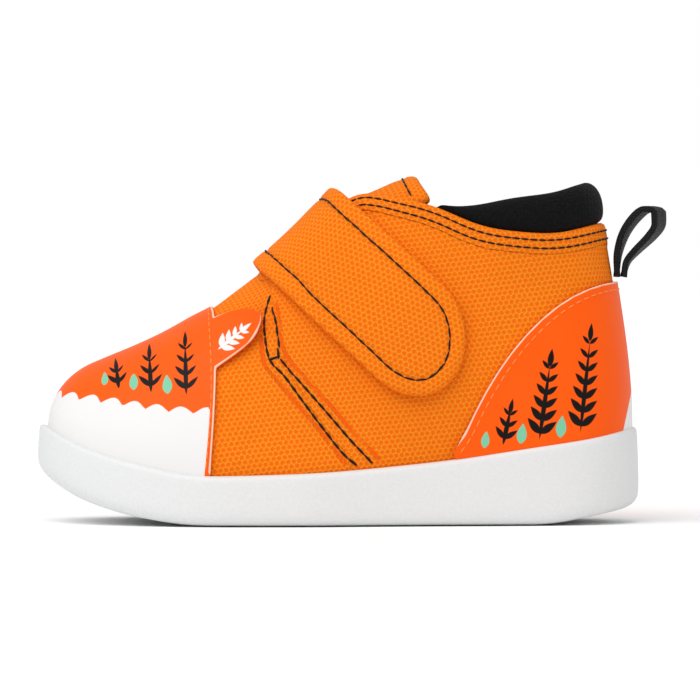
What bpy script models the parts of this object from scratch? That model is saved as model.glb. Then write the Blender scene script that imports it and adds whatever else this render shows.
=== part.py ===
"""Toddler's ankle-high strap shoe for the left foot, made as separate sewn and moulded pieces.

Frame: +X toward the toe, +Y toward the outer side of the foot, +Z up, tread on the plane Z = 0.
Every size below is in millimetres and becomes metres where a mesh is made.
"""
import math
from collections import namedtuple

import bmesh
import bpy
import numpy as np
from mathutils import Vector
from mathutils.bvhtree import BVHTree

MM = 0.001

# Driving sizes
SOLE_LENGTH = 145.0
BALL_WIDTH = 62.5
TOE_HEIGHT = 37.2
INSTEP_HEIGHT = 78.5
HEEL_HEIGHT = 71.5

# Fits and thicknesses
GAP = 0.35
LIP_WIDTH = 3.1
UPPER_WALL = 2.0
QUARTER_STEP = 0.7
OVERLAY = 0.8
RIM_CLEAR = 0.9

HALF_LAST = SOLE_LENGTH / 2 - LIP_WIDTH - GAP
HALF_BALL = BALL_WIDTH / 2 - LIP_WIDTH - GAP

# One row for each section of the last, from the toe round to the heel. The foot is where the wall
# meets the sole, the crest is its upper end: the ridge of the vamp, then the throat, then the topline.
# rise, lean and flare move the lower handle up, forward and outward; top_x, top_y and top_z lead
# from the crest back down into the wall.
Section = namedtuple("Section", (
    "foot_x", "foot_out", "foot_in",
    "crest_x", "crest_out", "crest_in", "crest_z",
    "rise", "lean", "flare", "top_x", "top_y", "top_z"))

SECTIONS = (
    Section(HALF_LAST, -4.0, -4.0, 58.5, -3.5, -3.5, TOE_HEIGHT, 5.5, 0.0, 0.2, 7.5, 0.0, -3.2),
    Section(66.5, 6.5, -13.5, 57.3, -3.3, -3.3, TOE_HEIGHT + 0.5, 6.0, 0.0, 0.5, 5.5, 7.5, -2.3),
    Section(60.5, 14.5, -20.0, 54.0, -2.8, -2.8, TOE_HEIGHT + 1.9, 8.0, 0.0, 0.9, 2.5, 9.5, -1.0),
    Section(51.0, 21.0, -24.8, 47.5, -2.2, -2.2, TOE_HEIGHT + 4.6, 11.0, 0.0, 1.2, 1.0, 11.5, -0.4),
    Section(39.0, 25.8, -27.0, 38.5, -0.9, -0.9, TOE_HEIGHT + 9.0, 14.0, 0.0, 1.2, 0.0, 12.5, 0.0),
    Section(25.0, HALF_BALL, -27.0, 28.5, 0.0, 0.0, TOE_HEIGHT + 15.7, 17.0, 2.0, 1.2, 0.0, 12.5, 0.0),
    Section(9.0, 27.6, -24.8, 20.5, 0.0, 0.0, INSTEP_HEIGHT - 19.9, 20.0, 10.0, 1.0, 0.0, 12.5, 0.0),
    Section(-5.5, 25.4, -22.4, 15.5, 2.5, -2.5, INSTEP_HEIGHT - 16.2, 26.0, 27.0, 0.9, -0.6, 11.0, -1.2),
    Section(-18.0, 23.4, -20.9, 5.5, 9.0, -9.0, INSTEP_HEIGHT - 8.7, 24.0, 16.0, 0.8, -2.9, 10.2, -2.9),
    Section(-28.0, 22.2, -20.3, -6.0, 13.5, -13.5, INSTEP_HEIGHT, 24.0, 10.0, 0.8, -4.4, 9.1, -5.4),
    Section(-38.0, 21.2, -20.1, -21.0, 18.0, -17.5, INSTEP_HEIGHT - 2.5, 20.0, 5.0, 1.0, -1.5, 4.0, -12.0),
    Section(-48.0, 20.0, -19.6, -36.0, 18.8, -18.4, HEEL_HEIGHT - 1.3, 17.0, 2.0, 1.2, -1.5, 2.5, -13.0),
    Section(-58.0, 17.4, -17.3, -50.0, 16.4, -16.3, HEEL_HEIGHT - 2.6, 16.0, 0.0, 1.2, -1.5, 2.0, -14.0),
    Section(-65.5, 10.9, -10.9, -59.8, 10.0, -10.0, HEEL_HEIGHT - 0.8, 16.0, 0.0, 0.8, -1.9, 1.2, -14.0),
    Section(-HALF_LAST, 0.0, 0.0, -63.2, 0.0, 0.0, HEEL_HEIGHT, 16.0, 0.0, 0.2, -2.2, 0.0, -15.0),
)
HEEL = len(SECTIONS) - 1
RING = 2 * HEEL
SLIT = 6
SEAM = 7
SEAM_EDGE = 0.02
SPLIT = 3
WALL_ROWS = 10

# Steps of the differences that give the wall's directions; beside a ridge they are taken just below it
PLACE_STEP = 0.02
WALL_STEP = 0.01
BELOW_RIDGE = 0.97

# Side lines of the sole, heel to toe: the rim that the upper stands in, and the rocker of the tread
SideLine = namedtuple("SideLine", ("x", "rim", "tread"))
SIDE_LINES = (
    SideLine(-SOLE_LENGTH / 2, 23.4, 4.2),
    SideLine(-60.0, 20.7, 1.8),
    SideLine(-48.0, 18.9, 0.0),
    SideLine(-20.0, 14.9, 0.0),
    SideLine(10.0, 12.5, 0.0),
    SideLine(32.0, 12.0, 0.0),
    SideLine(46.0, 14.4, 1.6),
    SideLine(60.0, 18.3, 5.4),
    SideLine(SOLE_LENGTH / 2, 24.2, 12.2),
)
LIP_RADIUS = 1.5
TREAD_RADIUS = 3.5
ROUND_STEPS = 3
SIDE_FLARE = 0.5
CUP_DEPTH = 6.0
ACROSS = 4
INSOLE = 3.0
INSOLE_SPLIT = 2

# Toe cap: its straight rear edge, and the rounded tab cut in one with it on each side
CAP_REAR = 29.9
CAP_BOW = 1.3
CAP_COLUMNS = 9
CAP_ROWS_LOW = 6
CAP_ROWS_HIGH = 4
TAB_LENGTH = 12.6
TAB_LEAST = 0.2
TAB_RISE = 0.45
TAB_FULLNESS = 0.6
TAB_LOW = 36.6
TAB_HIGH = 48.6
TAB_ROWS = 8
TAB_COLUMNS = 4
TAB_LIFT = 1.6

# Heel counter: where its top edge leaves the rim, and its height at the back
COUNTER_FRONT = -27.5
COUNTER_RUN = 39.5
COUNTER_HEIGHT = 58.3
COUNTER_FULLNESS = 0.85
COUNTER_START = 0.6
COUNTER_LEAST = 0.02
COUNTER_COLUMNS = 14
COUNTER_ROWS = 8

# Strap and tongue are drawn round an axis along the instep: a place along it, and a turn from its ridge
INSTEP_ANGLE = math.radians(45.4)
INSTEP_AXIS = (-6.0, 0.0, 53.3)
COVER_COLUMNS = 8
COVER_ARCH = 0.27

STRAP_FRONT = -12.4
STRAP_REAR = 14.2
STRAP_THICK = 2.3
STRAP_SWEEP = math.radians(147.0)
STRAP_SWEEP_STEPS = 120
STRAP_ROOT = -36.0
STRAP_END = 62.1
STRAP_LEAN = 1.6
STRAP_SKEW = 1.8
STRAP_NEAR = 2.5
STRAP_ROWS = 10
STRAP_COLUMNS = 26

TONGUE_FRONT = -17.0
TONGUE_FREE = 14.0
TONGUE_END = 28.0
TONGUE_BEND_FROM = 6.0
TONGUE_BEND = 6.4
TONGUE_BEND_POWER = 1.3
TONGUE_CROWN = 2.6
TONGUE_TURN = math.radians(52.0)
TONGUE_THICK = 2.6
TONGUE_ROWS = 14
TONGUE_COLUMNS = 12

# Padded collar: how it rises above the topline toward the heel, and a row for each level of its roll,
# outer and inner face, out from the wall and up as a share of the collar's height
COLLAR_FRONT = -23.8
COLLAR_RUN = 31.0
COLLAR_HEIGHT = 10.2
COLLAR_LEAST = 0.8
COLLAR_SEAT = 0.4
COLLAR_TUCK = (0.80, 0.90)
COLLAR_FACE = -UPPER_WALL - GAP
COLLAR_BACK = COLLAR_FACE - 3.4
COLLAR_COLUMNS = 28
CollarRow = namedtuple("CollarRow", ("outer", "outer_rise", "inner", "inner_rise"))
COLLAR_ROLL = (
    CollarRow(COLLAR_FACE, 0.0, COLLAR_BACK, 0.0),
    CollarRow(QUARTER_STEP, 0.0, COLLAR_BACK - 0.1, 0.25),
    CollarRow(QUARTER_STEP + 0.6, 0.42, COLLAR_BACK, 0.5),
    CollarRow(QUARTER_STEP + 0.1, 0.74, COLLAR_BACK + 0.5, 0.75),
    CollarRow(QUARTER_STEP - 1.5, 0.95, COLLAR_BACK + 1.5, 0.93),
    CollarRow(QUARTER_STEP - 3.4, 1.0, QUARTER_STEP - 3.4, 1.0),
)

# Webbing pull loop: the middle of the ribbon as it leaves the heel, turns and comes back
LOOP_ROUTE = (
    (-66.9, 58.8), (-67.0, 63.0), (-68.2, 68.0), (-70.8, 72.4), (-74.2, 75.2), (-76.9, 74.4),
    (-77.0, 71.4), (-75.0, 68.4), (-71.9, 65.4), (-69.2, 62.2), (-68.5, 58.8))
LOOP_WIDTH = 8.0
LOOP_THICK = 1.5
LOOP_TWIST = math.radians(20.0)
LOOP_STEPS = 28
LOOP_NEAR = 0.1

Finish = namedtuple("Finish", ("name", "colour", "roughness"))
MESH_CLOTH = Finish("orange_mesh_cloth", (1.0, 0.25, 0.01), 0.75)
VINYL = Finish("orange_vinyl", (0.95, 0.14, 0.015), 0.4)
KNIT = Finish("black_knit", (0.012, 0.012, 0.013), 0.85)
WEBBING = Finish("black_webbing", (0.014, 0.014, 0.015), 0.7)
RUBBER = Finish("white_rubber", (0.84, 0.84, 0.84), 0.5)
SOCK = Finish("insole_cloth", (0.05, 0.05, 0.05), 0.9)


class Curve:
    """Smooth curve through rows of numbers that never overshoots between two rows."""

    def __init__(self, knots, rows):
        self.knots = np.array(knots, dtype=float)
        self.rows = np.array(rows, dtype=float).reshape(len(self.knots), -1)
        rate = np.diff(self.rows, axis=0) / np.diff(self.knots)[:, None]
        before, after = rate[:-1], rate[1:]
        agree = before * after > 0
        total = np.where(agree, before + after, 1.0)
        inner = np.where(agree, 2 * before * after / total, 0.0)
        self.slopes = np.vstack((rate[:1], inner, rate[-1:]))

    def at(self, place):
        """Row of values at a place along the knots."""
        last = len(self.knots) - 2
        i = min(max(int(np.searchsorted(self.knots, place)) - 1, 0), last)
        span = self.knots[i + 1] - self.knots[i]
        f = (place - self.knots[i]) / span
        return (self.rows[i] * (1 + 2 * f) * (1 - f) ** 2 + self.slopes[i] * span * f * (1 - f) ** 2
                + self.rows[i + 1] * f * f * (3 - 2 * f) + self.slopes[i + 1] * span * f * f * (f - 1))


class Body:
    """Points and faces of one closed solid; points that coincide are one point."""

    def __init__(self):
        self.index = {}
        self.points = []
        self.faces = []

    def point(self, place):
        key = tuple(round(float(value), 3) + 0.0 for value in place)
        if key not in self.index:
            self.index[key] = len(self.points)
            self.points.append(tuple(float(value) for value in place))
        return self.index[key]

    def face(self, places):
        ring = []
        for place in places:
            number = self.point(place)
            if number not in ring:
                ring.append(number)
        if len(ring) > 2:
            self.faces.append(ring)

    def strip(self, first, second):
        """Faces between two lines of points."""
        for i in range(len(first) - 1):
            self.face((first[i], first[i + 1], second[i + 1], second[i]))

    def grid(self, lines):
        for first, second in zip(lines, lines[1:]):
            self.strip(first, second)

    def slab(self, near, far):
        """Solid between two grids of the same size, with its four edges closed."""
        self.grid(near)
        self.grid(far)
        self.strip(near[0], far[0])
        self.strip(near[-1], far[-1])
        self.strip([line[0] for line in near], [line[0] for line in far])
        self.strip([line[-1] for line in near], [line[-1] for line in far])

    def make(self, name, finish):
        """Add the solid to the shoe as a named object with its own material."""
        mesh = bpy.data.meshes.new(name)
        mesh.from_pydata([Vector(p) * MM for p in self.points], [], self.faces)
        work = bmesh.new()
        work.from_mesh(mesh)
        bmesh.ops.recalc_face_normals(work, faces=work.faces)
        work.to_mesh(mesh)
        work.free()
        mesh.shade_smooth()
        mesh.set_sharp_from_angle(angle=math.radians(50))
        mesh.materials.append(material(finish))
        thing = bpy.data.objects.new(name, mesh)
        SHOE.objects.link(thing)
        return thing


def material(finish):
    """Principled material for a finish."""
    made = bpy.data.materials.get(finish.name) or bpy.data.materials.new(finish.name)
    made.use_nodes = True
    shader = made.node_tree.nodes["Principled BSDF"]
    shader.inputs["Base Color"].default_value = (*finish.colour, 1.0)
    shader.inputs["Roughness"].default_value = finish.roughness
    shader.inputs["Metallic"].default_value = 0.0
    return made


def unit(vector):
    return np.array(vector) / np.linalg.norm(vector)


def section_rows(side):
    """Foot, crest and handles of each section on one side: 1 is lateral, -1 is medial."""
    rows = []
    for s in SECTIONS:
        foot_y, crest_y = (s.foot_out, s.crest_out) if side > 0 else (s.foot_in, s.crest_in)
        rows.append((s.foot_x, foot_y, s.crest_x, crest_y, s.crest_z,
                     s.rise, s.lean, s.flare, s.top_x, side * s.top_y, s.top_z))
    return rows


def last_ring():
    """The sections of both sides as one closed ring: toe, lateral side, heel, medial side, toe."""
    outer = section_rows(1)
    inner = section_rows(-1)
    ring = outer + inner[-2:0:-1]
    return Curve(range(-1, RING + 2), [ring[-1], *ring, ring[0], ring[1]])


LAST = last_ring()
SIDE = Curve([s.x for s in SIDE_LINES], [(s.rim, s.tread) for s in SIDE_LINES])


def rim(x):
    return SIDE.at(x)[0]


def tread(x):
    return SIDE.at(x)[1]


def outline(place):
    """Plan point of the last on the ring, and the direction out of it."""
    here = LAST.at(place % RING)[:2]
    run = LAST.at((place + PLACE_STEP) % RING)[:2] - LAST.at((place - PLACE_STEP) % RING)[:2]
    return here, unit((-run[1], run[0])) * -1.0


def wall(place, t):
    """Point of the last's wall: t is 0 at the rim, 1 at the crest, and below 0 inside the sole."""
    row = LAST.at(place % RING)
    (x, y), out = outline(place)
    foot = np.array((x, y, rim(x)))
    if t <= 0:
        return foot + np.array((0.0, 0.0, t))
    crest = row[2:5]
    rise, lean, flare = row[5:8]
    low = foot + np.array((lean + out[0] * flare, out[1] * flare, rise))
    high = crest + row[8:11]
    s = 1 - t
    return foot * s ** 3 + low * 3 * s * s * t + high * 3 * s * t * t + crest * t ** 3


def on_ridge(place):
    return min(place % RING, RING - place % RING) <= SLIT


def wall_normal(place, t):
    """Direction out of the wall."""
    if t <= 0:
        return np.array((*outline(place)[1], 0.0))
    low, high = max(t - WALL_STEP, 0.0), min(t + WALL_STEP, 1.0)
    level = min(t, BELOW_RIDGE)
    along = wall(place + WALL_STEP, level) - wall(place - WALL_STEP, level)
    return unit(np.cross(along, wall(place, high) - wall(place, low)))


def skin(place, t, lift):
    """Point at a height above the last's wall; the two sides share one ridge."""
    normal = wall_normal(place, t)
    if t >= 1 and on_ridge(place):
        normal = unit(normal + wall_normal(RING - place, t))
    return wall(place, t) + normal * lift


def solve(value, target, low, high):
    """Where a value that falls between low and high reaches its target."""
    for _ in range(40):
        middle = (low + high) / 2
        if value(middle) > target:
            low = middle
        else:
            high = middle
    return (low + high) / 2


def half_columns():
    """Places of the wall's columns from toe to heel, with the quarter seam's two edges."""
    even = [k / SPLIT for k in range(HEEL * SPLIT + 1)]
    return sorted(even + [SEAM + SEAM_EDGE])


def ring_columns():
    half = half_columns()
    return half + [RING - place for place in reversed(half[:-1])]


def quarter_step(place):
    """The quarters lie over the vamp, so the wall steps out behind their front seam."""
    return QUARTER_STEP if min(place, RING - place) > SEAM + SEAM_EDGE / 2 else 0.0


def make_upper():
    """Hollow upper: one wall, open below, along the throat and at the topline."""
    depths = [-(CUP_DEPTH - GAP), -CUP_DEPTH / 2, 0.0]
    levels = depths + [(k + 1) / WALL_ROWS for k in range(WALL_ROWS)]
    columns = ring_columns()
    outer = []
    inner = []
    for place in columns:
        step = quarter_step(place)
        outer.append([skin(place, t, step * min(max(t * WALL_ROWS, 0.0), 1.0)) for t in levels])
        inner.append([skin(place, t, -UPPER_WALL) for t in levels])
    body = Body()
    body.grid(outer)
    body.grid(inner)
    body.strip([line[0] for line in outer], [line[0] for line in inner])
    mouth = [i for i, place in enumerate(columns) if SLIT <= place <= RING - SLIT]
    body.strip([outer[i][-1] for i in mouth], [inner[i][-1] for i in mouth])
    return body.make("upper", MESH_CLOTH)


def ring_point(place, out, height):
    """Point off the last's outline, at a height worked out from its own X."""
    (x, y), away = outline(place)
    at = (x + away[0] * out, y + away[1] * out)
    return np.array((*at, height(at[0])))


def across(place, out, height):
    """Line of points from one side of the outline to the other."""
    left = ring_point(place, out, height)
    right = ring_point(RING - place, out, height)
    line = []
    for k in range(ACROSS + 1):
        point = left + (right - left) * k / ACROSS
        point[2] = height(point[0])
        line.append(point)
    return line


def sole_profile():
    """Side of the sole from the tread round the lip and down into the cup: out and height."""
    edge = GAP + LIP_WIDTH
    profile = []
    for k in range(ROUND_STEPS + 1):
        turn = math.pi / 2 * k / ROUND_STEPS
        out = edge - TREAD_RADIUS * (1 - math.sin(turn))
        lift = TREAD_RADIUS * (1 - math.cos(turn))
        profile.append((out, lambda x, lift=lift: tread(x) + lift))
    for k in range(ROUND_STEPS + 1):
        turn = math.pi / 2 * k / ROUND_STEPS
        out = edge - SIDE_FLARE - LIP_RADIUS * (1 - math.cos(turn))
        drop = LIP_RADIUS * (1 - math.sin(turn))
        profile.append((out, lambda x, drop=drop: rim(x) - drop))
    profile.append((GAP, rim))
    profile.append((GAP, cup_floor))
    return profile


def cup_floor(x):
    return rim(x) - CUP_DEPTH


def make_outsole():
    """Cup sole: rocker tread, rounded sides and lip, and the cup that holds the upper."""
    profile = sole_profile()
    columns = [k / SPLIT for k in range(RING * SPLIT + 1)]
    half = columns[:HEEL * SPLIT + 1]
    body = Body()
    body.grid([[ring_point(place, out, height) for out, height in profile] for place in columns])
    body.grid([across(place, *profile[0]) for place in half])
    body.grid([across(place, *profile[-1]) for place in half])
    return body.make("outsole", RUBBER)


def make_insole():
    """Flat sock on the floor of the cup, inside the wall of the upper."""
    edge = -UPPER_WALL - GAP
    half = [k / INSOLE_SPLIT for k in range(HEEL * INSOLE_SPLIT + 1)]

    def under(x):
        return cup_floor(x) + GAP

    def over(x):
        return cup_floor(x) + GAP + INSOLE

    low = [across(place, edge, under) for place in half]
    high = [across(place, edge, over) for place in half]
    body = Body()
    body.slab(low, high)
    return body.make("insole", SOCK)


def throat_cover(place, lift):
    """Arch that carries the wall's own curve across the open throat, from one edge to the other."""
    left = skin(place, 1.0, lift)
    right = skin(RING - place, 1.0, lift)
    reach = COVER_ARCH * np.linalg.norm(right - left)
    left_handle = left - unit(LAST.at(place)[8:11]) * reach
    right_handle = right - unit(LAST.at(RING - place)[8:11]) * reach
    line = []
    for k in range(COVER_COLUMNS + 1):
        f = k / COVER_COLUMNS
        s = 1 - f
        line.append(left * s ** 3 + left_handle * 3 * s * s * f + right_handle * 3 * s * f * f + right * f ** 3)
    return line


def closed_form(lift):
    """Search tree over the whole last at a height above its wall, with the throat covered."""
    levels = [k / WALL_ROWS for k in range(WALL_ROWS + 1)]
    body = Body()
    body.grid([[skin(place, t, lift) for t in levels] for place in ring_columns()])
    throat = [place for place in half_columns() if SLIT <= place <= HEEL]
    body.grid([throat_cover(place, lift) for place in throat])
    return BVHTree.FromPolygons([Vector(p) for p in body.points], body.faces)


INSTEP_ALONG = np.array((-math.cos(INSTEP_ANGLE), 0.0, math.sin(INSTEP_ANGLE)))
INSTEP_UP = np.array((math.sin(INSTEP_ANGLE), 0.0, math.cos(INSTEP_ANGLE)))


def round_instep(tree, along, turn):
    """Point of a form met by a ray from the instep axis."""
    start = np.array(INSTEP_AXIS) + INSTEP_ALONG * along
    ray = INSTEP_UP * math.cos(turn) + np.array((0.0, math.sin(turn), 0.0))
    return np.array(tree.ray_cast(Vector(start), Vector(ray))[0])


def outward(points, down, across):
    """Directions out of a grid of points, from its runs down and across."""
    normals = np.cross(down, across)
    normals /= np.linalg.norm(normals, axis=2)[:, :, None]
    return normals * np.sign(np.sum(normals * (points - np.array(INSTEP_AXIS)), axis=2))[:, :, None]


def make_tongue():
    """Arched tongue that lies under the throat and leans back at its free end."""
    tree = closed_form(-UPPER_WALL)
    points = []
    for k in range(TONGUE_ROWS + 1):
        along = TONGUE_FRONT + (TONGUE_END - TONGUE_FRONT) * k / TONGUE_ROWS
        bent = max(along - TONGUE_BEND_FROM, 0.0) / (TONGUE_END - TONGUE_BEND_FROM)
        shift = INSTEP_ALONG * max(along - TONGUE_FREE, 0.0) - INSTEP_UP * TONGUE_BEND * bent ** TONGUE_BEND_POWER
        line = []
        for i in range(TONGUE_COLUMNS + 1):
            side = 2 * i / TONGUE_COLUMNS - 1
            crown = np.array((-TONGUE_CROWN * bent * bent * (1 - side * side), 0.0, 0.0))
            line.append(round_instep(tree, min(along, TONGUE_FREE), TONGUE_TURN * side) + shift + crown)
        points.append(line)
    points = np.array(points)
    normals = outward(points, np.gradient(points, axis=0), np.gradient(points, axis=1))
    outer = points - normals * GAP
    inner = points - normals * (GAP + TONGUE_THICK)
    body = Body()
    body.slab(inner, outer)
    return body.make("tongue", MESH_CLOTH)


def strap_line(tree, along, places):
    """Points over the foot at lengths from the instep's ridge, which are negative on the medial side."""
    turns = np.linspace(-STRAP_SWEEP, STRAP_SWEEP, STRAP_SWEEP_STEPS + 1)
    points = np.array([round_instep(tree, along + STRAP_SKEW * turn / STRAP_SWEEP, turn) for turn in turns])
    lengths = np.concatenate(((0.0,), np.cumsum(np.linalg.norm(np.diff(points, axis=0), axis=1))))
    lengths -= lengths[STRAP_SWEEP_STEPS // 2]
    return np.column_stack([np.interp(places, lengths, points[:, axis]) for axis in range(3)])


def make_strap():
    """Padded strap from its root on the medial quarter over the instep to its round lateral end."""
    tree = closed_form(QUARTER_STEP)
    middle = (STRAP_FRONT + STRAP_REAR) / 2
    half = (STRAP_REAR - STRAP_FRONT) / 2
    lines = []
    across = []
    for k in range(STRAP_ROWS + 1):
        side = -math.cos(math.pi * k / STRAP_ROWS)
        along = middle + half * side
        end = STRAP_END - STRAP_LEAN * side - half * (1 - math.sqrt(1 - side * side))
        places = np.linspace(STRAP_ROOT, end, STRAP_COLUMNS + 1)
        lines.append(strap_line(tree, along, places))
        across.append(strap_line(tree, along + STRAP_NEAR, places) - strap_line(tree, along - STRAP_NEAR, places))
    points = np.array(lines)
    normals = outward(points, np.array(across), np.gradient(points, axis=1))
    body = Body()
    body.slab(points + normals * GAP, points + normals * (GAP + STRAP_THICK))
    return body.make("strap", MESH_CLOTH)


def low_edge(place):
    """Lowest t of an overlay, just clear of the sole's lip."""
    return RIM_CLEAR / (3 * LAST.at(place % RING)[5])


def tab_reach(height):
    """How far the tab runs back from the cap's rear edge at a height on that edge."""
    share = min(max((height - TAB_LOW) / (TAB_HIGH - TAB_LOW), 0.0), 1.0)
    reach = TAB_LENGTH * max(math.sin(math.pi * share), 0.0) ** TAB_FULLNESS
    return reach if reach > TAB_LEAST else 0.0


def place_at(x, t):
    """Place on the lateral side, ahead of the heel, where the wall passes a given X."""
    return solve(lambda place: wall(place, t)[0], x, 0.0, HEEL)


def spot_at(x, height):
    """Place and t on the lateral side, ahead of the heel, where the wall passes a given X and height."""
    t = solve(lambda level: -wall(place_at(x, level), level)[2], -height, 0.0, BELOW_RIDGE)
    return place_at(x, t), t


def cap_rear(level):
    """X of the toe cap's rear edge, which bows back between the sole and the ridge."""
    return CAP_REAR - CAP_BOW * math.sin(math.pi * level)


def cap_levels():
    """Heights of the toe cap's rows, close together where the tab is."""
    rear = place_at(cap_rear(0.5), 0.5)
    low = solve(lambda t: -wall(rear, t)[2], -TAB_LOW, 0.0, 1.0)
    high = solve(lambda t: -wall(rear, t)[2], -TAB_HIGH, 0.0, 1.0)
    below = np.linspace(0.0, low, CAP_ROWS_LOW, endpoint=False)
    beside = np.linspace(low, high, TAB_ROWS, endpoint=False)
    above = np.linspace(high, 1.0, CAP_ROWS_HIGH + 1)
    return np.concatenate((below, beside, above))


def make_toe_cap():
    """Vinyl cap over the toe, with the tab on each side lifting away from the vamp."""
    body = Body()
    levels = cap_levels()
    for side in (1, -1):
        near = []
        far = []
        for level in levels:
            rear = place_at(cap_rear(level), level)
            height = wall(rear, level)[2]
            reach = tab_reach(height)
            spots = []
            for k in range(CAP_COLUMNS + 1):
                place = rear * k / CAP_COLUMNS
                low = low_edge(place)
                spots.append((place, low + (1 - low) * level, 0.0))
            for k in range(TAB_COLUMNS):
                back = reach * (k + 1) / TAB_COLUMNS
                if back > 0:
                    place, t = spot_at(cap_rear(level) - back, height + TAB_RISE * back)
                    spots.append((place, t, TAB_LIFT * back * back / (reach * TAB_LENGTH)))
                else:
                    spots.append(spots[-1])
            lines = ([], [])
            for place, t, lift in spots:
                at = place if side > 0 else RING - place
                lines[0].append(skin(at, t, GAP + lift))
                lines[1].append(skin(at, t, GAP + lift + OVERLAY))
            near.append(lines[0])
            far.append(lines[1])
        body.grid(near)
        body.grid(far)
        body.strip(near[0], far[0])
        body.strip([line[-1] for line in near], [line[-1] for line in far])
    return body.make("toe_cap", VINYL)


def counter_edge(x):
    """Height of the counter's top edge."""
    share = min(max((COUNTER_FRONT - x) / COUNTER_RUN, 0.0), 1.0)
    low = rim(COUNTER_FRONT)
    return low + (COUNTER_HEIGHT - low) * (1 - (1 - share) ** 2) ** COUNTER_FULLNESS


def counter_top(place):
    """Highest t of the counter on one column of the wall."""
    def below_edge(t):
        point = wall(place, t)
        return counter_edge(point[0]) - point[2] - OVERLAY

    return max(solve(below_edge, 0.0, 0.0, 1.0), low_edge(place) + COUNTER_LEAST)


def make_heel_counter():
    """Vinyl counter round the heel, its top edge rising from the rim to the back."""
    front = place_at(COUNTER_FRONT - COUNTER_START, 0.0)
    near = []
    far = []
    for k in range(2 * COUNTER_COLUMNS + 1):
        place = front + (RING - 2 * front) * k / (2 * COUNTER_COLUMNS)
        levels = np.linspace(low_edge(place), counter_top(place), COUNTER_ROWS + 1)
        near.append([skin(place, t, QUARTER_STEP + GAP) for t in levels])
        far.append([skin(place, t, QUARTER_STEP + GAP + OVERLAY) for t in levels])
    body = Body()
    body.slab(near, far)
    return body.make("heel_counter", VINYL)


def collar_height(x):
    """How far the collar stands above the topline."""
    share = min(max((COLLAR_FRONT - x) / COLLAR_RUN, 0.0), 1.0)
    return max(COLLAR_HEIGHT * (1 - (1 - share) ** 2), COLLAR_LEAST)


def make_collar():
    """Padded knit collar: tucked inside the topline and rolled over above it."""
    front = place_at(COLLAR_FRONT, 1.0)
    outer = []
    inner = []
    for k in range(COLLAR_COLUMNS + 1):
        place = front + (RING - 2 * front) * k / COLLAR_COLUMNS
        crest = wall(place, 1.0)
        out = wall_normal(place, 1.0)
        up = unit(crest - wall(place, 1.0 - WALL_STEP))
        height = collar_height(crest[0])
        outer_line = [skin(place, t, COLLAR_FACE) for t in COLLAR_TUCK]
        inner_line = [skin(place, t, COLLAR_BACK) for t in COLLAR_TUCK]
        for row in COLLAR_ROLL:
            outer_line.append(crest + out * row.outer + up * (COLLAR_SEAT + height * row.outer_rise))
            inner_line.append(crest + out * row.inner + up * (COLLAR_SEAT + height * row.inner_rise))
        outer.append(outer_line)
        inner.append(inner_line)
    body = Body()
    body.slab(outer, inner)
    return body.make("collar", KNIT)


def make_pull_loop():
    """Webbing ribbon that leaves the top of the counter, turns over and comes back beside itself."""
    stops = len(LOOP_ROUTE) - 1
    route = Curve(range(stops + 1), LOOP_ROUTE)
    under = []
    over = []
    for k in range(LOOP_STEPS + 1):
        place = stops * k / LOOP_STEPS
        x, z = route.at(place)
        run = unit(route.at(min(place + LOOP_NEAR, stops)) - route.at(max(place - LOOP_NEAR, 0.0)))
        twist = LOOP_TWIST * math.sin(math.pi * k / LOOP_STEPS)
        wide = np.array((math.sin(twist), math.cos(twist), 0.0))
        thick = unit(np.cross((run[0], 0.0, run[1]), wide))
        middle = np.array((x, 0.0, z))
        edges = [middle - wide * LOOP_WIDTH / 2, middle, middle + wide * LOOP_WIDTH / 2]
        under.append([point - thick * LOOP_THICK / 2 for point in edges])
        over.append([point + thick * LOOP_THICK / 2 for point in edges])
    body = Body()
    body.slab(under, over)
    return body.make("pull_loop", WEBBING)


def main():
    make_outsole()
    make_insole()
    make_upper()
    make_tongue()
    make_strap()
    make_collar()
    make_toe_cap()
    make_heel_counter()
    make_pull_loop()


for old in list(bpy.data.objects):
    bpy.data.objects.remove(old, do_unlink=True)
SHOE = bpy.data.collections.new("strap_shoe")
bpy.context.scene.collection.children.link(SHOE)
main()
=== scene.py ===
"""Looks of a toddler's strap shoe: cloth, vinyl, knit, webbing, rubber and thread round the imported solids.

Frame: +X toward the toe, +Y toward the outer side of the foot, +Z up, metres. Sizes are written in
millimetres and multiplied by MM where they become places.
"""

import logging
import math
from collections.abc import Callable, Iterable, Sequence
from dataclasses import dataclass
from enum import Enum

import bmesh
import bpy
import numpy as np
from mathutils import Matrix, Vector
from mathutils.bvhtree import BVHTree


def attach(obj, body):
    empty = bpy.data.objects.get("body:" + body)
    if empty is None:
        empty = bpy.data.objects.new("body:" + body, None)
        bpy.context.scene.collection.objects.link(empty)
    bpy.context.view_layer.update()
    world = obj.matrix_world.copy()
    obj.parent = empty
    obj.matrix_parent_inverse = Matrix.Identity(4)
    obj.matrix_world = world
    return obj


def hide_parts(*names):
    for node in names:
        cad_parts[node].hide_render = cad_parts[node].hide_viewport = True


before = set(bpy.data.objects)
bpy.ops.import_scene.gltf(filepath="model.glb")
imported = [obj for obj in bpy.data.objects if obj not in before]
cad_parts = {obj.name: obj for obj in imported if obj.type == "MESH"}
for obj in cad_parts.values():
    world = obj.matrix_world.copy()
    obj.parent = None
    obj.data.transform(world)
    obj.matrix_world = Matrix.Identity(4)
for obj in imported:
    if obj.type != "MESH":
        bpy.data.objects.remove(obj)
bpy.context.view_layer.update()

MM = 0.001
BODY = "root"
CLOTH_MAP = "cloth"
LOG = logging.getLogger("strap_shoe")
UP = np.array((0.0, 0.0, MM))
# Distance from a line, in millimetres, up to which cloth carries its distance on its points
EDGE_REACH = 3.0
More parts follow.
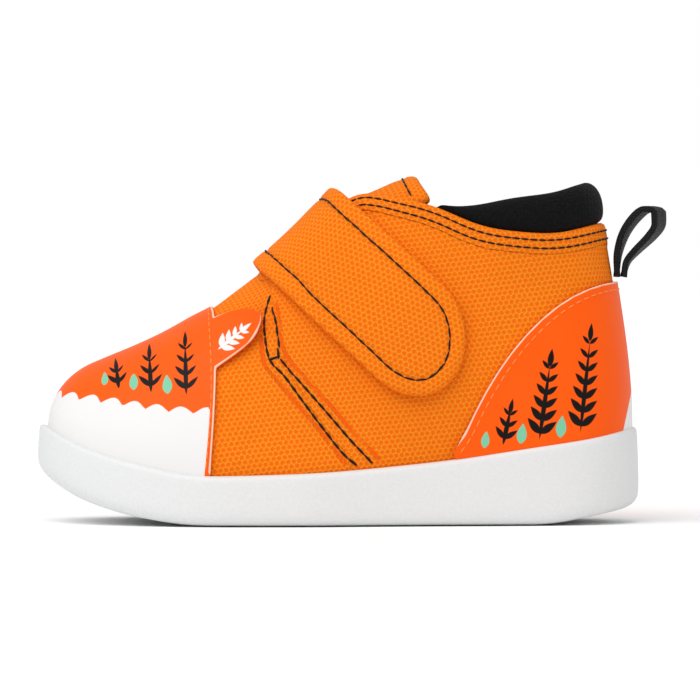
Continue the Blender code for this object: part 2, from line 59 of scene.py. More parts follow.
# X of the toe cap's rear edge at the ridge, reach of its press along X and Y, and heights where that sets in
PRESS_AT = 29.5
PRESS_SIZE = (4.5, 9.0)
PRESS_HEIGHTS = (40.0, 45.0)
# How fast a point counts as one of the outer side, as its normal turns outward
OUTWARD = 4.0
# Distance between the points of a drawn line in millimetres
FINE_STEP = 0.5
COARSE_STEP = 1.0
# Values between which most of a noise texture lies
NOISE_SPAN = (0.3, 0.7)
# Scale at which a wave texture has one band a metre
WAVE_SCALE = math.pi / 10

Points = np.ndarray
Line = Sequence[tuple[float, float]]
Tree = bpy.types.NodeTree
Socket = bpy.types.NodeSocket
Look = tuple[Socket, list[tuple[Socket, float]]]


class Side(Enum):
    """The two sides of the foot, as the sign of Y."""

    OUTER = 1
    INNER = -1


class Field(Enum):
    """Distances that a piece carries on its points, in millimetres.

    Those of a print are below zero inside the colour. Those of cloth are above zero near the line and zero
    past it, as they are on pieces without the line.
    """

    WHITE = "white_mm"
    BLACK = "black_mm"
    MINT = "mint_mm"
    RAW = "raw_mm"
    BAND = "band_mm"
    SEAM = "seam_mm"


def linear(hex_colour: str) -> tuple[float, float, float, float]:
    """Turn an sRGB hex colour into linear light.

    Args:
        hex_colour: Six hex digits.

    Returns:
        Red, green, blue and alpha.
    """
    shares = [int(hex_colour[i:i + 2], 16) / 255 for i in (0, 2, 4)]
    light = [s / 12.92 if s <= 0.04045 else ((s + 0.055) / 1.055) ** 2.4 for s in shares]
    return (*light, 1.0)


def add(tree: Tree, kind: str, inputs: dict | None = None, **settings: object) -> bpy.types.Node:
    """Add a node with its settings, values and links.

    Args:
        tree: Node tree of a material.
        kind: Node type without its ShaderNode prefix.
        inputs: Values or output sockets for the node's inputs, by name or number.
        settings: The node's own properties.

    Returns:
        The new node.
    """
    node = tree.nodes.new("ShaderNode" + kind)
    for key, value in settings.items():
        setattr(node, key, value)
    for key, value in (inputs or {}).items():
        if isinstance(value, Socket):
            tree.links.new(value, node.inputs[key])
        else:
            node.inputs[key].default_value = value
    return node


@dataclass(frozen=True)
class Finish:
    """A surface with one shader; each kind of finish gives its own colour and relief.

    Attributes:
        name: Name of the material.
        roughness: Roughness of the shader.
        gloss: Specular level of the shader.
        sheen: Weight of the fuzz that cloth shows at a glancing angle.
        coat: Weight of a clear top layer.
    """

    name: str
    roughness: float = 0.6
    gloss: float = 0.5
    sheen: float = 0.0
    coat: float = 0.0

    def made(self) -> bpy.types.Material:
        """Return the material, made once and shared by every piece that has this finish."""
        found = bpy.data.materials.get(self.name)
        if found:
            return found
        material = bpy.data.materials.new(self.name)
        material.use_nodes = True
        tree = material.node_tree
        shader = tree.nodes["Principled BSDF"]
        shader.inputs["Roughness"].default_value = self.roughness
        shader.inputs["Specular IOR Level"].default_value = self.gloss
        shader.inputs["Sheen Weight"].default_value = self.sheen
        shader.inputs["Coat Weight"].default_value = self.coat
        colour, reliefs = self.look(tree)
        tree.links.new(colour, shader.inputs["Base Color"])
        under = {}
        for height, depth in reliefs:
            bump = add(tree, "Bump", {"Height": height, "Distance": depth * MM, "Strength": 1.0, **under})
            under = {"Normal": bump.outputs[0]}
        tree.links.new(under["Normal"], shader.inputs["Normal"])
        return material

    def look(self, tree: Tree) -> Look:
        """Add the nodes of the colour and the relief.

        Args:
            tree: Node tree of the material.

        Returns:
            The colour's socket, and heights from 0 to 1 with the real height of 1 in millimetres, laid over
            each other.
        """
        raise NotImplementedError


# Honeycomb polyester mesh, warp-knitted: small dark hollows in light walls, matt
@dataclass(frozen=True)
class MeshCloth(Finish):
    """Honeycomb mesh cloth, drawn on the piece's own map in metres.

    Attributes:
        hollow: Colour in the hollows.
        wall: Colour of the walls between them.
        pitch: Distance between hollows in millimetres.
        rim: Shares of the pitch, from a hollow's middle, where its floor ends and its wall starts.
        depth: Depth of a hollow in millimetres.
        yarn: Size of the yarns round a hollow in millimetres.
        stray: How far a yarn strays into a hollow, as a share of the pitch.
        patch: Size of slow changes of tone in millimetres.
        tones: Darkest and lightest tone of such a patch, as shares of the colour.
        shaded_fold: Painted shade down in a seam's fold: a darker colour laid in where the fold sinks,
            standing in for its shade.
        fold_rim: Distances from the fold's line where the cloth is level and where its floor ends; the
            painted shade fades in over the same span.
        fold_depth: Depth of that fold in millimetres.
        band_rim: Distances inside and past the edge of a turned band over which it stands up.
        band_rise: How far the band stands proud in millimetres.
    """

    hollow: str = "F36A08"
    wall: str = "F98F1C"
    pitch: float = 1.35
    rim: tuple[float, float] = (0.22, 0.52)
    depth: float = 0.12
    yarn: float = 0.5
    stray: float = 0.36
    patch: float = 30.0
    tones: tuple[float, float] = (0.93, 1.0)
    # Darker colour of painted shade in a seam's fold
    shaded_fold: str = "F45F08"
    fold_rim: tuple[float, float] = (0.7, 0.25)
    fold_depth: float = 0.2
    band_rim: tuple[float, float] = (0.15, 0.25)
    band_rise: float = 0.45

    def look(self, tree: Tree) -> Look:
        """Draw the honeycomb as two rectangular lattices, one set half a cell off the other.

        Args:
            tree: Node tree of the material.

        Returns:
            The colour, and the heights of hollows, folds and bands.
        """
        cloth = add(tree, "UVMap", uv_map=CLOTH_MAP)
        height = self.honeycomb(tree, cloth.outputs[0])
        place = add(tree, "TexCoord")
        slow = add(tree, "TexNoise", {"Vector": place.outputs["Object"], "Scale": 1 / (self.patch * MM)})
        tone = add(tree, "MapRange", {"Value": slow.outputs[0], "From Min": NOISE_SPAN[0],
                                      "From Max": NOISE_SPAN[1], "To Min": self.tones[0],
                                      "To Max": self.tones[1]})
        band = add(tree, "Attribute", attribute_name=Field.BAND.value)
        step = add(tree, "MapRange", {"Value": band.outputs["Fac"],
                                      "From Min": EDGE_REACH - self.band_rim[1],
                                      "From Max": EDGE_REACH + self.band_rim[0]},
                   interpolation_type="SMOOTHSTEP")
        seam = add(tree, "Attribute", attribute_name=Field.SEAM.value)
        level = add(tree, "MapRange", {"Value": seam.outputs["Fac"],
                                       "From Min": EDGE_REACH - self.fold_rim[0],
                                       "From Max": EDGE_REACH - self.fold_rim[1],
                                       "To Min": 1.0, "To Max": 0.0},
                    interpolation_type="SMOOTHSTEP")
        mesh = add(tree, "Mix", {0: height, 6: linear(self.hollow), 7: linear(self.wall)}, data_type="RGBA")
        # Painted shade: the shaded fold's darker colour is mixed in where the seam's fold sinks
        painted_fold_shade = add(tree, "Mix", {0: level.outputs[0], 6: linear(self.shaded_fold), 7: mesh.outputs[2]},
                     data_type="RGBA")
        toned = add(tree, "VectorMath", {0: painted_fold_shade.outputs[2], 3: tone.outputs[0]}, operation="SCALE")
        return toned.outputs[0], [(height, self.depth), (level.outputs[0], self.fold_depth),
                                  (step.outputs[0], self.band_rise)]

    def honeycomb(self, tree: Tree, cloth: Socket) -> Socket:
        """Measure the height of the honeycomb.

        Args:
            tree: Node tree of the material.
            cloth: Place on the map.

        Returns:
            The height, 0 in a hollow and 1 on a wall.
        """
        half = (0.5, math.sqrt(3) / 2, 1.0)
        scaled = add(tree, "VectorMath", {0: cloth, 3: 1 / (self.pitch * MM)}, operation="SCALE")
        shifted = add(tree, "VectorMath", {0: scaled.outputs[0], 1: half}, operation="ADD")
        away = []
        for lattice in (scaled, shifted):
            cell = add(tree, "VectorMath", {0: lattice.outputs[0], 1: half, 2: tuple(-h for h in half)},
                       operation="WRAP")
            flat = add(tree, "VectorMath", {0: cell.outputs[0], 1: (1.0, 1.0, 0.0)}, operation="MULTIPLY")
            away.append(add(tree, "VectorMath", {0: flat.outputs[0]}, operation="LENGTH").outputs["Value"])
        nearest = add(tree, "Math", {0: away[0], 1: away[1]}, operation="MINIMUM")
        yarns = add(tree, "TexNoise", {"Vector": cloth, "Scale": 1 / (self.yarn * MM), "Detail": 1.0})
        strayed = add(tree, "Math", {0: yarns.outputs[0], 1: self.stray, 2: nearest.outputs[0]},
                      operation="MULTIPLY_ADD")
        floor, wall = (share + self.stray / 2 for share in self.rim)
        return add(tree, "MapRange", {"Value": strayed.outputs[0], "From Min": floor, "From Max": wall},
                   interpolation_type="SMOOTHSTEP").outputs[0]


# Coated synthetic leather: smooth film with a faint pebble, half gloss; the print lies flat in the film
@dataclass(frozen=True)
class Vinyl(Finish):
    """Coated vinyl with a flat print that follows the distances on the piece's points.

    Attributes:
        ground: Colour of the film.
        cloud: Colour of its darker patches.
        cloud_size: Size of those patches in millimetres.
        white: White of the print.
        black: Black of the print.
        mint: Green of the print.
        raw: Colour of the cut edge, where the backing shows.
        pebble: Size of the grain in millimetres.
        depth: Depth of the grain in millimetres.
        soft: Half width of a print's edge in millimetres.
    """

    ground: str = "FF6009"
    cloud: str = "FB5907"
    cloud_size: float = 18.0
    white: str = "E9E8E7"
    black: str = "14110F"
    mint: str = "7CC9A4"
    raw: str = "F7C9B0"
    pebble: float = 0.7
    depth: float = 0.03
    soft: float = 0.1

    def look(self, tree: Tree) -> Look:
        """Lay the print's colours over each other and add the grain.

        Args:
            tree: Node tree of the material.

        Returns:
            The colour, and the height of the grain.
        """
        place = add(tree, "TexCoord").outputs["Object"]
        cloud = add(tree, "TexNoise", {"Vector": place, "Scale": 1 / (self.cloud_size * MM)})
        colour = add(tree, "Mix", {0: cloud.outputs[0], 6: linear(self.cloud), 7: linear(self.ground)},
                     data_type="RGBA").outputs[2]
        layers = {Field.WHITE: self.white, Field.BLACK: self.black, Field.MINT: self.mint,
                  Field.RAW: self.raw}
        for layer, shade in layers.items():
            away = add(tree, "Attribute", attribute_name=layer.value)
            share = add(tree, "MapRange", {"Value": away.outputs["Fac"], "From Min": self.soft,
                                           "From Max": -self.soft}, interpolation_type="SMOOTHSTEP")
            colour = add(tree, "Mix", {0: share.outputs[0], 6: colour, 7: linear(shade)},
                         data_type="RGBA").outputs[2]
        grain = add(tree, "TexVoronoi", {"Vector": place, "Scale": 1 / (self.pebble * MM)},
                    feature="SMOOTH_F1")
        return colour, [(grain.outputs["Distance"], self.depth)]


@dataclass(frozen=True)
class Knit(Finish):
    """Fine knit in one colour.

    Attributes:
        low: Colour between the loops.
        high: Colour on the loops.
        loop: Size of a loop in millimetres, drawn about twice as coarse as it is so that it shows.
        stray: How unevenly the loops lie, from 0 to 1.
        crown: Shares of a loop's size, from its middle, where it starts to fall and where it ends.
        depth: Height of a loop in millimetres.
    """

    low: str = "040404"
    high: str = "0F0F10"
    loop: float = 0.8
    stray: float = 0.55
    crown: tuple[float, float] = (0.1, 0.7)
    depth: float = 0.2

    def look(self, tree: Tree) -> Look:
        """Draw the loops.

        Args:
            tree: Node tree of the material.

        Returns:
            The colour, and the height of the loops.
        """
        place = add(tree, "TexCoord")
        loops = add(tree, "TexVoronoi", {"Vector": place.outputs["Object"], "Scale": 1 / (self.loop * MM),
                                         "Randomness": self.stray}, feature="SMOOTH_F1")
        height = add(tree, "MapRange", {"Value": loops.outputs["Distance"], "From Min": self.crown[0],
                                        "From Max": self.crown[1], "To Min": 1.0, "To Max": 0.0}).outputs[0]
        colour = add(tree, "Mix", {0: height, 6: linear(self.low), 7: linear(self.high)}, data_type="RGBA")
        return colour.outputs[2], [(height, self.depth)]


@dataclass(frozen=True)
class Webbing(Finish):
    """Ribbed tape, drawn on the piece's own map in metres, its length along U.

    Attributes:
        low: Colour between the ribs.
        high: Colour on the ribs.
        rib: Distance between ribs in millimetres.
        yarn: Distance between the yarns that cross them in millimetres.
        wobble: How unevenly the ribs run.
        depth: Height of a rib in millimetres.
    """

    low: str = "050506"
    high: str = "17171A"
    rib: float = 1.1
    yarn: float = 0.66
    wobble: float = 0.4
    depth: float = 0.25

    def look(self, tree: Tree) -> Look:
        """Draw the ribs and the yarns that cross them.

        Args:
            tree: Node tree of the material.

        Returns:
            The colour, and the height of the weave.
        """
        cloth = add(tree, "UVMap", uv_map=CLOTH_MAP)
        ribs = add(tree, "TexWave", {"Vector": cloth.outputs[0], "Scale": WAVE_SCALE / (self.rib * MM),
                                     "Distortion": self.wobble, "Detail Scale": 2.0}, bands_direction="X")
        yarns = add(tree, "TexWave", {"Vector": cloth.outputs[0], "Scale": WAVE_SCALE / (self.yarn * MM)},
                    bands_direction="Y")
        weave = add(tree, "Math", {0: ribs.outputs[1], 1: yarns.outputs[1]}, operation="MULTIPLY")
        height = add(tree, "Math", {0: ribs.outputs[1], 1: weave.outputs[0]}, operation="MULTIPLY")
        colour = add(tree, "Mix", {0: ribs.outputs[1], 6: linear(self.low), 7: linear(self.high)},
                     data_type="RGBA")
        return colour.outputs[2], [(height.outputs[0], self.depth)]


@dataclass(frozen=True)
class Grain(Finish):
    """Two shades in a fine, even grain.

    Attributes:
        low: Colour in the grain's hollows.
        high: Colour of the rest.
        size: Size of the grain in millimetres.
        detail: How often a finer grain lies in it.
        depth: Depth of the grain in millimetres.
    """

    low: str = "FDFDFD"
    high: str = "FFFFFF"
    size: float = 2.0
    detail: float = 2.0
    depth: float = 0.0

    def look(self, tree: Tree) -> Look:
        """Draw the grain.

        Args:
            tree: Node tree of the material.

        Returns:
            The colour, and the height of the grain.
        """
        place = add(tree, "TexCoord")
        height = add(tree, "TexNoise", {"Vector": place.outputs["Object"], "Scale": 1 / (self.size * MM),
                                        "Detail": self.detail}).outputs[0]
        colour = add(tree, "Mix", {0: height, 6: linear(self.low), 7: linear(self.high)}, data_type="RGBA")
        return colour.outputs[2], [(height, self.depth)]


MESH_CLOTH = MeshCloth("orange_mesh_cloth", roughness=0.8, gloss=0.1)
VINYL = Vinyl("printed_vinyl", roughness=0.42, gloss=0.1, coat=0.01)
# Brushed polyester knit over foam: soft, very matt, fine loops in rows
COLLAR_KNIT = Knit("black_collar_knit", roughness=0.85, gloss=0.12, sheen=0.02)
# Polyester tricot: matt and dark, its loops hardly seen inside the shoe
LINING = Knit("black_lining_knit", roughness=0.9, gloss=0.1, loop=1.2)
SOCK = Knit("dark_sock_cloth", roughness=0.95, gloss=0.1, low="161617", high="2C2C2E", loop=1.0)
# Woven polyester tape: hard ribs across its length, a dull shine on each rib
TAPE = Webbing("black_woven_tape", roughness=0.6, gloss=0.2)
# Moulded thermoplastic rubber: even, faintly sparked by the mould, soft highlights
RUBBER = Grain("white_moulded_rubber", roughness=0.48, gloss=0.35, low="D9DADA", high="E6E7E7", size=0.6,
               detail=3.0, depth=0.05)
# Bonded polyester thread: tight twist, a slight shine on each ply
BLACK_THREAD = Grain("black_thread", roughness=0.5, gloss=0.2, low="070606", high="1A1716", size=0.35,
                     depth=0.06)
ORANGE_THREAD = Grain("orange_thread", roughness=0.5, gloss=0.2, low="F07A2C", high="FF9A4A", size=0.35,
                      depth=0.06)
# Seamless paper: white, with hardly any tooth
PAPER = Grain("white_paper", roughness=0.9, gloss=0.0)


def only(piece: bpy.types.Object) -> None:
    """Select one object and nothing else."""
    bpy.ops.object.select_all(action="DESELECT")
    piece.select_set(True)
    bpy.context.view_layer.objects.active = piece


def unit(vectors: Points) -> Points:
    """Scale vectors to length one."""
    return vectors / np.maximum(np.linalg.norm(vectors, axis=-1, keepdims=True), 1e-12)


def smooth(knots: Sequence[Sequence[float]], step: float) -> Points:
    """Draw a smooth line through knots.

    Args:
        knots: Points that the line passes.
        step: Distance between the points of the line.

    Returns:
        Points at even distances along the line.
    """
    points = np.array(knots, dtype=float)
    ends = np.vstack((2 * points[0] - points[1], points, 2 * points[-1] - points[-2]))
    drawn = []
    for a, b, c, d in zip(ends, ends[1:], ends[2:], ends[3:]):
        for t in np.linspace(0.0, 1.0, 12, endpoint=False):
            drawn.append(b + t * (c - a) / 2 + t * t * (2 * a - 5 * b + 4 * c - d) / 2
                         + t ** 3 * (3 * b - a - 3 * c + d) / 2)
    return even(np.vstack((drawn, points[-1:])), step)


def lengths_along(line: Points) -> Points:
    """Return the length of a line up to each of its points."""
    return np.concatenate(((0.0,), np.cumsum(np.linalg.norm(np.diff(line, axis=0), axis=1))))


def even(rows: Points, step: float, line: Points | None = None) -> Points:
    """Space rows of numbers evenly along a line.

    Args:
        rows: One row for each point of the line.
        step: Distance wanted between points.
        line: The line's points, where they aren't the rows themselves.

    Returns:
        The spaced rows.
    """
    lengths = lengths_along(rows if line is None else line)
    count = max(int(round(lengths[-1] / step)), 1)
    places = np.linspace(0.0, lengths[-1], count + 1)
    return np.column_stack([np.interp(places, lengths, column) for column in rows.T])


def reach(points: Points, line: Points) -> tuple[Points, Points]:
    """Measure how far points are from a line.

    Args:
        points: Points to measure from.
        line: Points of the line.

    Returns:
        The distances, and the share of the line's length where each is nearest.
    """
    best = np.full(len(points), np.inf)
    share = np.zeros(len(points))
    for i, (a, b) in enumerate(zip(line, line[1:])):
        run = b - a
        along = np.clip((points - a) @ run / max(run @ run, 1e-18), 0.0, 1.0)
        away = np.linalg.norm(points - (a + along[:, None] * run), axis=1)
        nearer = away < best
        best[nearer] = away[nearer]
        share[nearer] = (i + along[nearer]) / (len(line) - 1)
    return best, share


def trough(away: Points, width: float) -> Points:
    """Return a soft profile that is 1 on a line and fades over a width."""
    return np.exp(-(away / width) ** 2)


def pressed(points: Points, press: float) -> Points:
    """Lower points at the ridge where the toe cap's rear edge presses the vamp in.

    Args:
        points: Points of the vamp or the cap.
        press: How far they go down at most, in millimetres.

    Returns:
        The points at their new places.
    """
    x, y, z = points.T / MM
    fade = trough(x - PRESS_AT, PRESS_SIZE[0]) * trough(y, PRESS_SIZE[1]) * ramp(z, *PRESS_HEIGHTS)
    return points - np.outer(press * fade, UP)


def ramp(values: Points, low: float, high: float) -> Points:
    """Return how far values have gone from low to high, from 0 to 1."""
    return np.clip((values - low) / (high - low), 0.0, 1.0)


def islands(faces: Iterable[bmesh.types.BMFace],
            border: Callable[[bmesh.types.BMEdge], bool]) -> list[list[bmesh.types.BMFace]]:
    """Sort faces into groups that no border crosses.

    Args:
        faces: Faces of a mesh.
        border: Says whether an edge is a border.

    Returns:
        The groups.
    """
    left = dict.fromkeys(faces)
    groups = []
    while left:
        group = [left.popitem()[0]]
        for face in group:
            for edge in face.edges:
                if border(edge):
                    continue
                for other in edge.link_faces:
                    if other in left:
                        del left[other]
                        group.append(other)
        groups.append(group)
    return groups


@dataclass
class Edge:
    """Cut edge of a panel that runs anticlockwise seen from outside, in metres.

    Attributes:
        points: Points of the edge; a closed one repeats its first point.
        normals: Directions out of the panel at those points.
    """

    points: Points
    normals: Points

    def stretch(self, wanted: np.ndarray) -> "Edge":
        """Pick the longest stretch of a closed edge whose points are wanted.

        Args:
            wanted: Whether each point is wanted.

        Returns:
            The stretch.
        """
        if wanted.all():
            return self
        count = len(wanted) - 1
        start = int(np.argmin(wanted[:-1]))
        runs, run = [], []
        for i in [(start + k) % count for k in range(count)]:
            if wanted[i]:
                run.append(i)
            else:
                runs.append(run)
                run = []
        best = max([*runs, run], key=len)
        return Edge(self.points[best], self.normals[best])

    def spaced(self, step: float) -> "Edge":
        """Space the edge's points evenly.

        Args:
            step: Distance wanted between points in millimetres.

        Returns:
            The spaced edge.
        """
        both = even(np.hstack((self.points, self.normals)), step * MM, self.points)
        return Edge(both[:, :3], unit(both[:, 3:]))


class Shell:
    """Smooth, finely divided copy of a CAD node, with the panels between its cut edges.

    Attributes:
        piece: The object.
        panels: Closed edges of its panels, the one that faces outward most first.
        merge: Distance within which points are one, in millimetres.
        square: Angle in degrees between two triangles up to which they are squared up.
        level: Upward share of a part's normal past which it lies level.
        tuck_reach: Distance over which a tucked edge is drawn down, in millimetres.
        core: Height of the line through the foot's room, in millimetres; outer faces turn away from it.
    """

    merge: float = 0.001
    square: float = 30.0
    level: float = 0.9
    tuck_reach: float = 4.0
    core: float = 20.0

    def __init__(self, node: str, name: str, levels: int, crease: float, sharp: float = 40.0,
                 cut: Callable[[Points], np.ndarray] | None = None) -> None:
        """Merge, square up, map and divide a copy of the node's mesh.

        Args:
            node: Name of the CAD node.
            name: Name of the new piece.
            levels: Subdivision levels.
            crease: How sharp the cut edges stay, from 0 to 1.
            sharp: Angle in degrees past which an edge is a cut edge.
            cut: Says which points lie on a line where the flat map is cut as well.
        """
        self.piece = bpy.data.objects.new(name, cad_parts[node].data.copy())
        bpy.context.scene.collection.objects.link(self.piece)
        mesh = self.piece.data
        mesh.materials.clear()
        only(self.piece)
        bpy.ops.object.mode_set(mode="EDIT")
        bpy.ops.mesh.select_all(action="SELECT")
        bpy.ops.mesh.remove_doubles(threshold=self.merge * MM)
        bpy.ops.mesh.tris_convert_to_quads(face_threshold=math.radians(self.square), shape_threshold=math.pi,
                                           topology_influence=1.2)
        bpy.ops.mesh.customdata_custom_splitnormals_clear()
        bpy.ops.object.mode_set(mode="OBJECT")
        self.find_panels(math.radians(sharp), crease, cut)
        self.unfold()
        rounder = self.piece.modifiers.new("rounder", "SUBSURF")
        rounder.levels = rounder.render_levels = levels
        bpy.ops.object.modifier_apply(modifier=rounder.name)
        bpy.ops.object.shade_smooth()

    def find_panels(self, sharp: float, crease: float, cut: Callable[[Points], np.ndarray] | None) -> None:
        """Crease the cut edges, mark them as seams and collect the panels between them.

        Args:
            sharp: Angle past which an edge is a cut edge.
            crease: How sharp the cut edges stay.
            cut: Says which points lie on a further line of the map's seams.
        """
        work = bmesh.new()
        work.from_mesh(self.piece.data)
        crease_layer = work.edges.layers.float.new("crease_edge")
        cut_edges = set()
        for edge in work.edges:
            if edge.calc_face_angle(math.pi) > sharp:
                cut_edges.add(edge)
                edge[crease_layer] = crease
                edge.seam = True
            elif cut and cut(np.array([v.co for v in edge.verts])).all():
                edge.seam = True
        middle = sum((v.co for v in work.verts), Vector()) / len(work.verts)
        groups = islands(work.faces, lambda edge: edge in cut_edges)
        groups.sort(key=lambda group: -sum(f.calc_area() * f.normal.dot(f.calc_center_median() - middle)
                                           for f in group))
        self.panels = [self.outline(group) for group in groups]
        work.to_mesh(self.piece.data)
        work.free()

    @staticmethod
    def outline(group: list[bmesh.types.BMFace]) -> list[Edge]:
        """Walk round a group of faces.

        Args:
            group: Faces of one panel.

        Returns:
            Each closed edge, from its point nearest to the inner side, longest edge first.
        """
        inside = set(group)
        after = {}
        for face in group:
            for loop in face.loops:
                if sum(other in inside for other in loop.edge.link_faces) == 1:
                    after[loop.vert] = loop.link_loop_next.vert
        lines = []
        while after:
            line, vert = [], min(after, key=lambda corner: corner.co.y)
            while vert in after:
                line.append(vert)
                vert = after.pop(vert)
            line.append(vert)
            normals = [sum((f.normal for f in v.link_faces if f in inside), Vector()) for v in line]
            lines.append(Edge(np.array([v.co for v in line]), unit(np.array(normals))))
        return sorted(lines, key=lambda edge: len(edge.points), reverse=True)

    def unfold(self) -> None:
        """Flatten the piece along its seams into a map in metres, each part turned upright."""
        mesh = self.piece.data
        while mesh.uv_layers:
            mesh.uv_layers.remove(mesh.uv_layers[0])
        mesh.uv_layers.new(name=CLOTH_MAP)
        bpy.ops.object.mode_set(mode="EDIT")
        bpy.ops.mesh.select_all(action="SELECT")
        bpy.ops.uv.unwrap(method="ANGLE_BASED", margin=0.0)
        bpy.ops.object.mode_set(mode="OBJECT")
        work = bmesh.new()
        work.from_mesh(mesh)
        flat = work.loops.layers.uv[CLOTH_MAP]
        for group in islands(work.faces, lambda edge: edge.seam):
            self.set_upright(group, flat)
        work.to_mesh(mesh)
        work.free()

    def set_upright(self, group: list[bmesh.types.BMFace], flat: bmesh.types.BMLayerItem) -> None:
        """Turn and scale one part of the map to real size, with its V axis up the piece.

        Args:
            group: Faces of the part.
            flat: The map's layer.
        """
        loops = [loop for face in group for loop in face.loops]
        spots = np.array([loop[flat].uv for loop in loops])
        places = np.array([loop.vert.co for loop in loops])
        normal = unit(sum(np.array(face.normal) * face.calc_area() for face in group))
        up = (0.0, 0.0, 1.0) if abs(normal[2]) < self.level else (1.0, 0.0, 0.0)
        right = unit(np.cross(up, normal))
        up = np.cross(normal, right)
        wanted = np.column_stack((places @ right, places @ up))
        spots = spots - spots.mean(axis=0)
        wanted = wanted - wanted.mean(axis=0)
        turn = math.atan2((spots[:, 0] * wanted[:, 1] - spots[:, 1] * wanted[:, 0]).sum(),
                          (spots * wanted).sum())
        mapped = 0.0
        for face in group:
            u, v = np.array([loop[flat].uv for loop in face.loops]).T
            mapped += abs(u @ np.roll(v, 1) - v @ np.roll(u, 1)) / 2
        size = math.sqrt(sum(face.calc_area() for face in group) / max(mapped, 1e-12))
        turned = np.array(((math.cos(turn), math.sin(turn)), (-math.sin(turn), math.cos(turn))))
        for loop, spot in zip(loops, spots @ turned * size):
            loop[flat].uv = spot

    def points(self) -> Points:
        """Return the places of the piece's points."""
        places = np.empty(len(self.piece.data.vertices) * 3)
        self.piece.data.vertices.foreach_get("co", places)
        return places.reshape(-1, 3)

    def normals(self) -> Points:
        """Return the directions out of the piece at its points."""
        return np.array([v.normal for v in self.piece.data.vertices])

    def move(self, heights: Points) -> None:
        """Move points along their normals.

        Args:
            heights: How far each point moves, in millimetres.
        """
        self.place(self.points() + self.normals() * heights[:, None] * MM)

    def place(self, points: Points) -> None:
        """Put the piece's points at new places."""
        self.piece.data.vertices.foreach_set("co", points.ravel())
        self.piece.data.update()

    def tuck(self, edge: Edge, depth: float) -> None:
        """Draw the points near an edge down behind what stands in front of it.

        Args:
            edge: The edge.
            depth: How far the edge goes down, in millimetres.
        """
        points = self.points()
        share = ramp(reach(points, edge.points)[0], self.tuck_reach * MM, 0.0)
        self.place(points - np.outer(depth * share, UP))

    def refine(self, strokes: Sequence["Blade"], near: float = 0.45, cuts: int = 2) -> None:
        """Divide the outer faces under a print further, so that its edges stay sharp.

        Args:
            strokes: Strokes of the print.
            near: Distance from a stroke within which faces are divided, in millimetres.
            cuts: Cuts across each edge of those faces.
        """
        points = self.points()
        outer = np.sum(self.normals() * (points - UP * self.core) * (0.0, 1.0, 1.0), axis=1) > 0
        wanted = outer & (printed(points, self.surface(), strokes) < near)
        only(self.piece)
        bpy.ops.object.mode_set(mode="EDIT")
        bpy.ops.mesh.select_mode(type="FACE")
        bpy.ops.mesh.select_all(action="DESELECT")
        bpy.ops.object.mode_set(mode="OBJECT")
        for face in self.piece.data.polygons:
            face.select = bool(wanted[list(face.vertices)].any())
        bpy.ops.object.mode_set(mode="EDIT")
        bpy.ops.mesh.subdivide(number_cuts=cuts)
        bpy.ops.object.mode_set(mode="OBJECT")

    def keep(self, layer: Field, distances: Points) -> None:
        """Store a distance on the piece's points.

        Args:
            layer: What the distance is for.
            distances: One distance for each point, in millimetres.
        """
        made = self.piece.data.attributes.new(layer.value, "FLOAT", "POINT")
        made.data.foreach_set("value", distances.astype(np.float32))

    def surface(self) -> "Surface":
        """Return the piece's present surface for finding places on it."""
        return Surface(self.piece)


class Surface:
    """A piece's surface, to find places and directions on it.

    Attributes:
        far: Distance from the middle at which a look from the side starts, in millimetres.
        stride: Length of a step on the surface in millimetres.
        lift: How far above the surface a step ends before it drops back.
        clear: Share of its distance that a line keeps from every part of the edge it follows.
        calming: How often a line's points are drawn toward their neighbours.
    """

    far: float = 200.0
    stride: float = 0.5
    lift: float = 0.3
    clear: float = 0.85
    calming: int = 6

    def __init__(self, piece: bpy.types.Object) -> None:
        """Build the search tree.

        Args:
            piece: Object at the origin.
        """
        faces = [tuple(p.vertices) for p in piece.data.polygons]
        self.tree = BVHTree.FromPolygons([v.co for v in piece.data.vertices], faces)

    def from_side(self, line: Points, side: Side) -> tuple[Points, Points]:
        """Lay a line drawn in the side view onto the surface.

        Args:
            line: Points as X and Z in millimetres.
            side: Side that it is laid from.

        Returns:
            Places and directions out of the surface, where the surface was met.
        """
        found = []
        for x, z in line:
            start = Vector((x, side.value * self.far, z)) * MM
            place, normal, _, _ = self.tree.ray_cast(start, Vector((0.0, -side.value, 0.0)))
            if place and normal.y * side.value > 0:
                found.append((place, normal))
        return np.array([p for p, _ in found]), np.array([n for _, n in found])

    def nearest(self, points: Points) -> tuple[Points, Points]:
        """Drop points onto the surface.

        Args:
            points: Places near it.

        Returns:
            Places and directions out of the surface.
        """
        found = [self.tree.find_nearest(Vector(p)) for p in points]
        return np.array([f[0] for f in found]), np.array([f[1] for f in found])

    def inside(self, edge: Edge, distance: float) -> tuple[Points, Points]:
        """Draw a line on the surface at a distance inside an edge.

        Args:
            edge: The edge.
            distance: Distance in millimetres.

        Returns:
            Places and directions of the line, without the corners where it would come too near the edge.
        """
        close = edge.spaced(COARSE_STEP)
        inward = unit(np.cross(close.normals, np.gradient(close.points, axis=0)))
        places, normals = close.points, close.normals
        steps = math.ceil(distance / self.stride)
        for _ in range(steps):
            places, normals = self.nearest(places + (inward * distance / steps + normals * self.lift) * MM)
            inward = unit(inward - normals * np.sum(inward * normals, axis=1, keepdims=True))
        away, _ = reach(places, close.points)
        kept = away > self.clear * distance * MM
        places, normals = places[kept], normals[kept]
        for _ in range(self.calming):
            places[1:-1] = (places[:-2] + 2 * places[1:-1] + places[2:]) / 4
        return self.nearest(places + normals * self.lift * MM)


